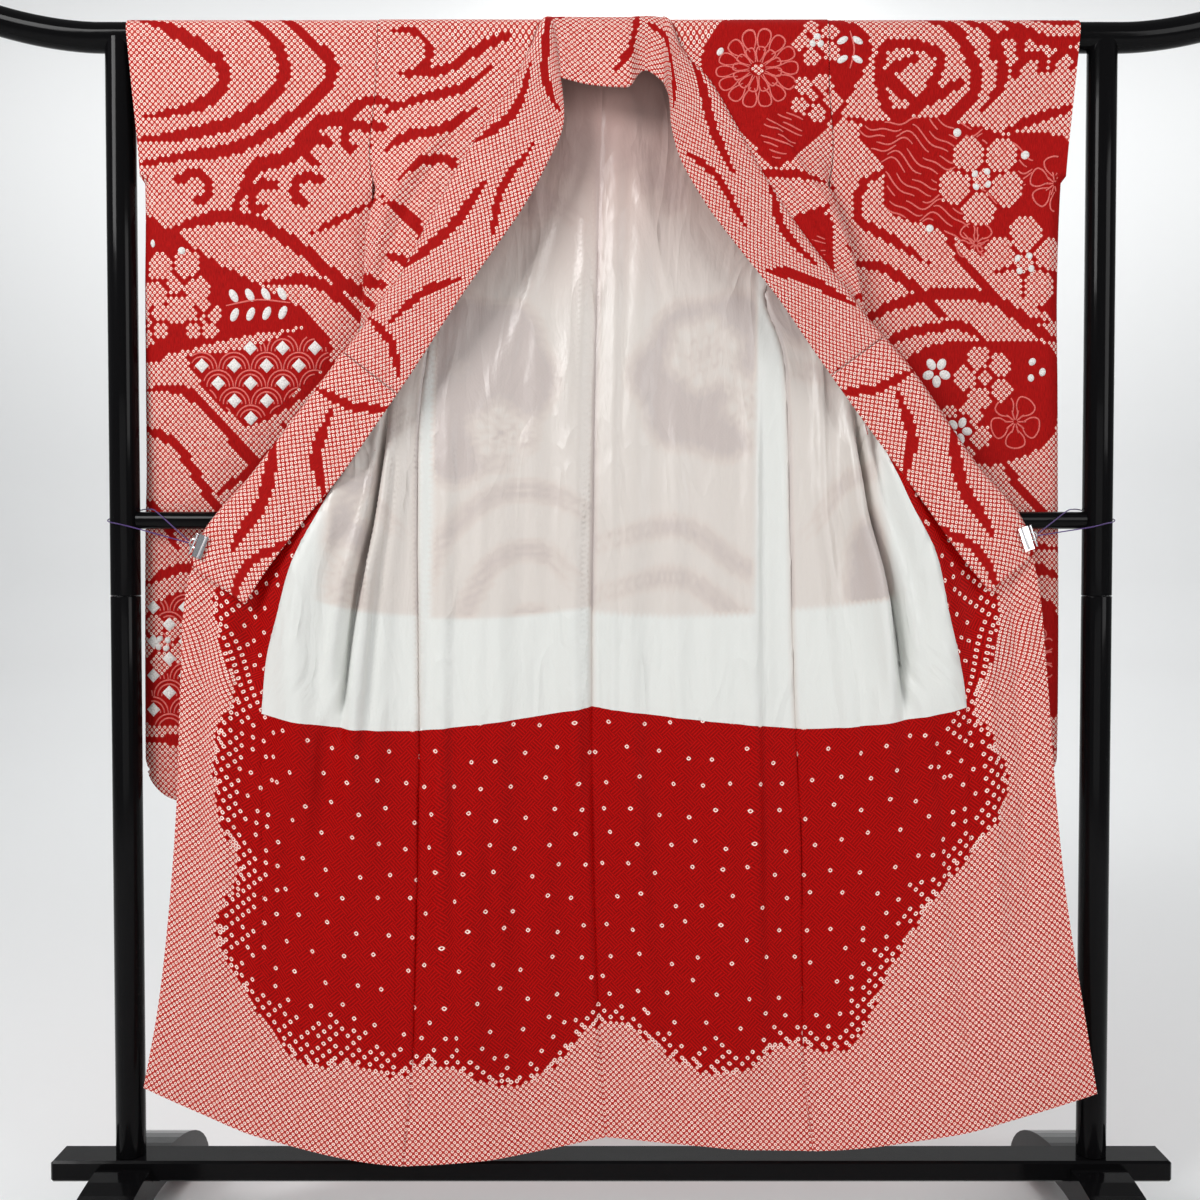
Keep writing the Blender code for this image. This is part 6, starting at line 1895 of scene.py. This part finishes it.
# Rolled lips along the clips' jaws: the jaws' place and half length, and each lip's place over the
# cloth's edge, its distance in front of the cloth and its radius
CLIP_T = (0.815, 0.822)
CLIP_HALF = 0.0155
LIPS = (("inner", 0.0078), ("outer", -0.0040))
LIP_FORWARD = 0.0118
LIP_RADIUS = 0.0013
for side, word in enumerate(WORDS):
    middle = front_point(side, np.array(1.0), np.array(CLIP_T[side]))
    along = unit(front_point(side, np.array(1.0), np.array(CLIP_T[side] + 0.01))
                 - front_point(side, np.array(1.0), np.array(CLIP_T[side] - 0.01)))
    into = collar_tracks[side](CLIP_T[side]) - middle
    into = unit(into - along * np.dot(into, along))
    across = np.cross(along, into)
    across = across if across[1] < 0 else -across
    for end, out in LIPS:
        place = middle + into * out + across * LIP_FORWARD
        path, radii = rounded_ends(place - along * CLIP_HALF, place + along * CLIP_HALF, LIP_RADIUS, 0.0010)
        dress(revolved("clip_lip_%s_%s" % (end, word), path, radii, 12), "chrome", chrome)

# Cords from the clips' rings round the uprights, over the middle bar, and back to the rings
CORD_RADIUS = 0.0008
CORDS = (
    ((-0.5719, -0.0461, 0.9758), (-0.6007, -0.0281, 0.9967), (-0.6295, -0.0100, 1.0176),
     (-0.6435, 0.0040, 1.0206), (-0.6555, 0.0145, 1.0206), (-0.6665, 0.0216, 1.0186),
     (-0.6795, 0.0226, 1.0156), (-0.6920, 0.0155, 1.0116), (-0.6981, 0, 1.0066),
     (-0.6920, -0.0155, 1.0026), (-0.6775, -0.0226, 0.9996), (-0.6555, -0.0270, 0.9946),
     (-0.6053, -0.0385, 0.9815), (-0.5719, -0.0461, 0.9728)),
    ((0.5769, -0.0457, 0.9856), (0.6032, -0.0278, 1.0016), (0.6295, -0.0100, 1.0176),
     (0.6435, 0.0040, 1.0206), (0.6555, 0.0145, 1.0206), (0.6665, 0.0216, 1.0186),
     (0.6795, 0.0226, 1.0156), (0.6920, 0.0155, 1.0116), (0.6981, 0, 1.0066),
     (0.6920, -0.0155, 1.0026), (0.6775, -0.0226, 0.9996), (0.6555, -0.0270, 0.9946),
     (0.6083, -0.0382, 0.9874), (0.5769, -0.0457, 0.9826)),
)
for route, word in zip(CORDS, WORDS):
    track = smooth_track([(k, *point) for k, point in enumerate(route)])
    path = track(np.linspace(0, len(route) - 1, 79))
    cord = revolved("cord_" + word, path, [CORD_RADIUS] * len(path), 10)
    dress(cord, "purple_cord", purple, "cord_" + word)
    length = float(np.linalg.norm(np.diff(path, axis=0), axis=1).sum())

# Floor and backdrop in one sheet, and the lights
mesh = bpy.data.meshes.new("backdrop")
profile = ((-5.0, 0.0), (2.4, 0.0), (3.2, 0.03), (3.9, 0.16), (4.4, 0.44), (4.7, 0.9), (4.82, 1.5),
           (4.85, 6.5))
corners = [(x, y, z) for y, z in profile for x in (-8, 8)]
mesh.from_pydata(corners, [], [(2 * k, 2 * k + 1, 2 * k + 3, 2 * k + 2) for k in range(len(profile) - 1)])
mesh.shade_smooth()
backdrop = bpy.data.objects.new("backdrop", mesh)
scene.collection.objects.link(backdrop)
paper = Nodes("paper", 0.9)
grain = paper.noise(paper.add("ShaderNodeTexCoord").outputs["Object"], 30, 3)
paper.finish(paper.mix(paper.times(grain, 0.2), (0.88, 0.89, 0.89), (0.84, 0.85, 0.85)))
mesh.materials.append(paper.material)


def area_light(name, place, target, size, power):
    data = bpy.data.lights.new(name, "AREA")
    data.shape = "RECTANGLE"
    data.size, data.size_y = size
    data.energy = power
    light = bpy.data.objects.new(name, data)
    light.location = place
    way = np.array(target, dtype=float) - np.array(place)
    light.rotation_euler = (math.atan2(math.hypot(way[0], way[1]), -way[2]), 0,
                            math.atan2(way[1], way[0]) - math.pi / 2)
    scene.collection.objects.link(light)


area_light("key", (-2.2, -2.1, 2.8), (0.1, 0, 0.9), (1.3, 1.3), 84)
area_light("fill", (2.5, -2.3, 1.9), (0, 0, 0.85), (1.6, 1.6), 40)
area_light("low", (0.0, -3.4, 0.8), (0, 0, 0.7), (3.0, 1.2), 11)
area_light("wall", (0.4, 3.0, 4.0), (0.4, 4.85, 1.2), (9.0, 0.8), 96)
area_light("floor", (0.4, 2.3, 4.2), (0.4, 2.3, 0), (7.0, 1.6), 52)
world = bpy.data.worlds.new("studio")
world.use_nodes = True
world.node_tree.nodes["Background"].inputs[0].default_value = (0.95, 0.97, 1.0, 1)
world.node_tree.nodes["Background"].inputs[1].default_value = 0.22
scene.world = world
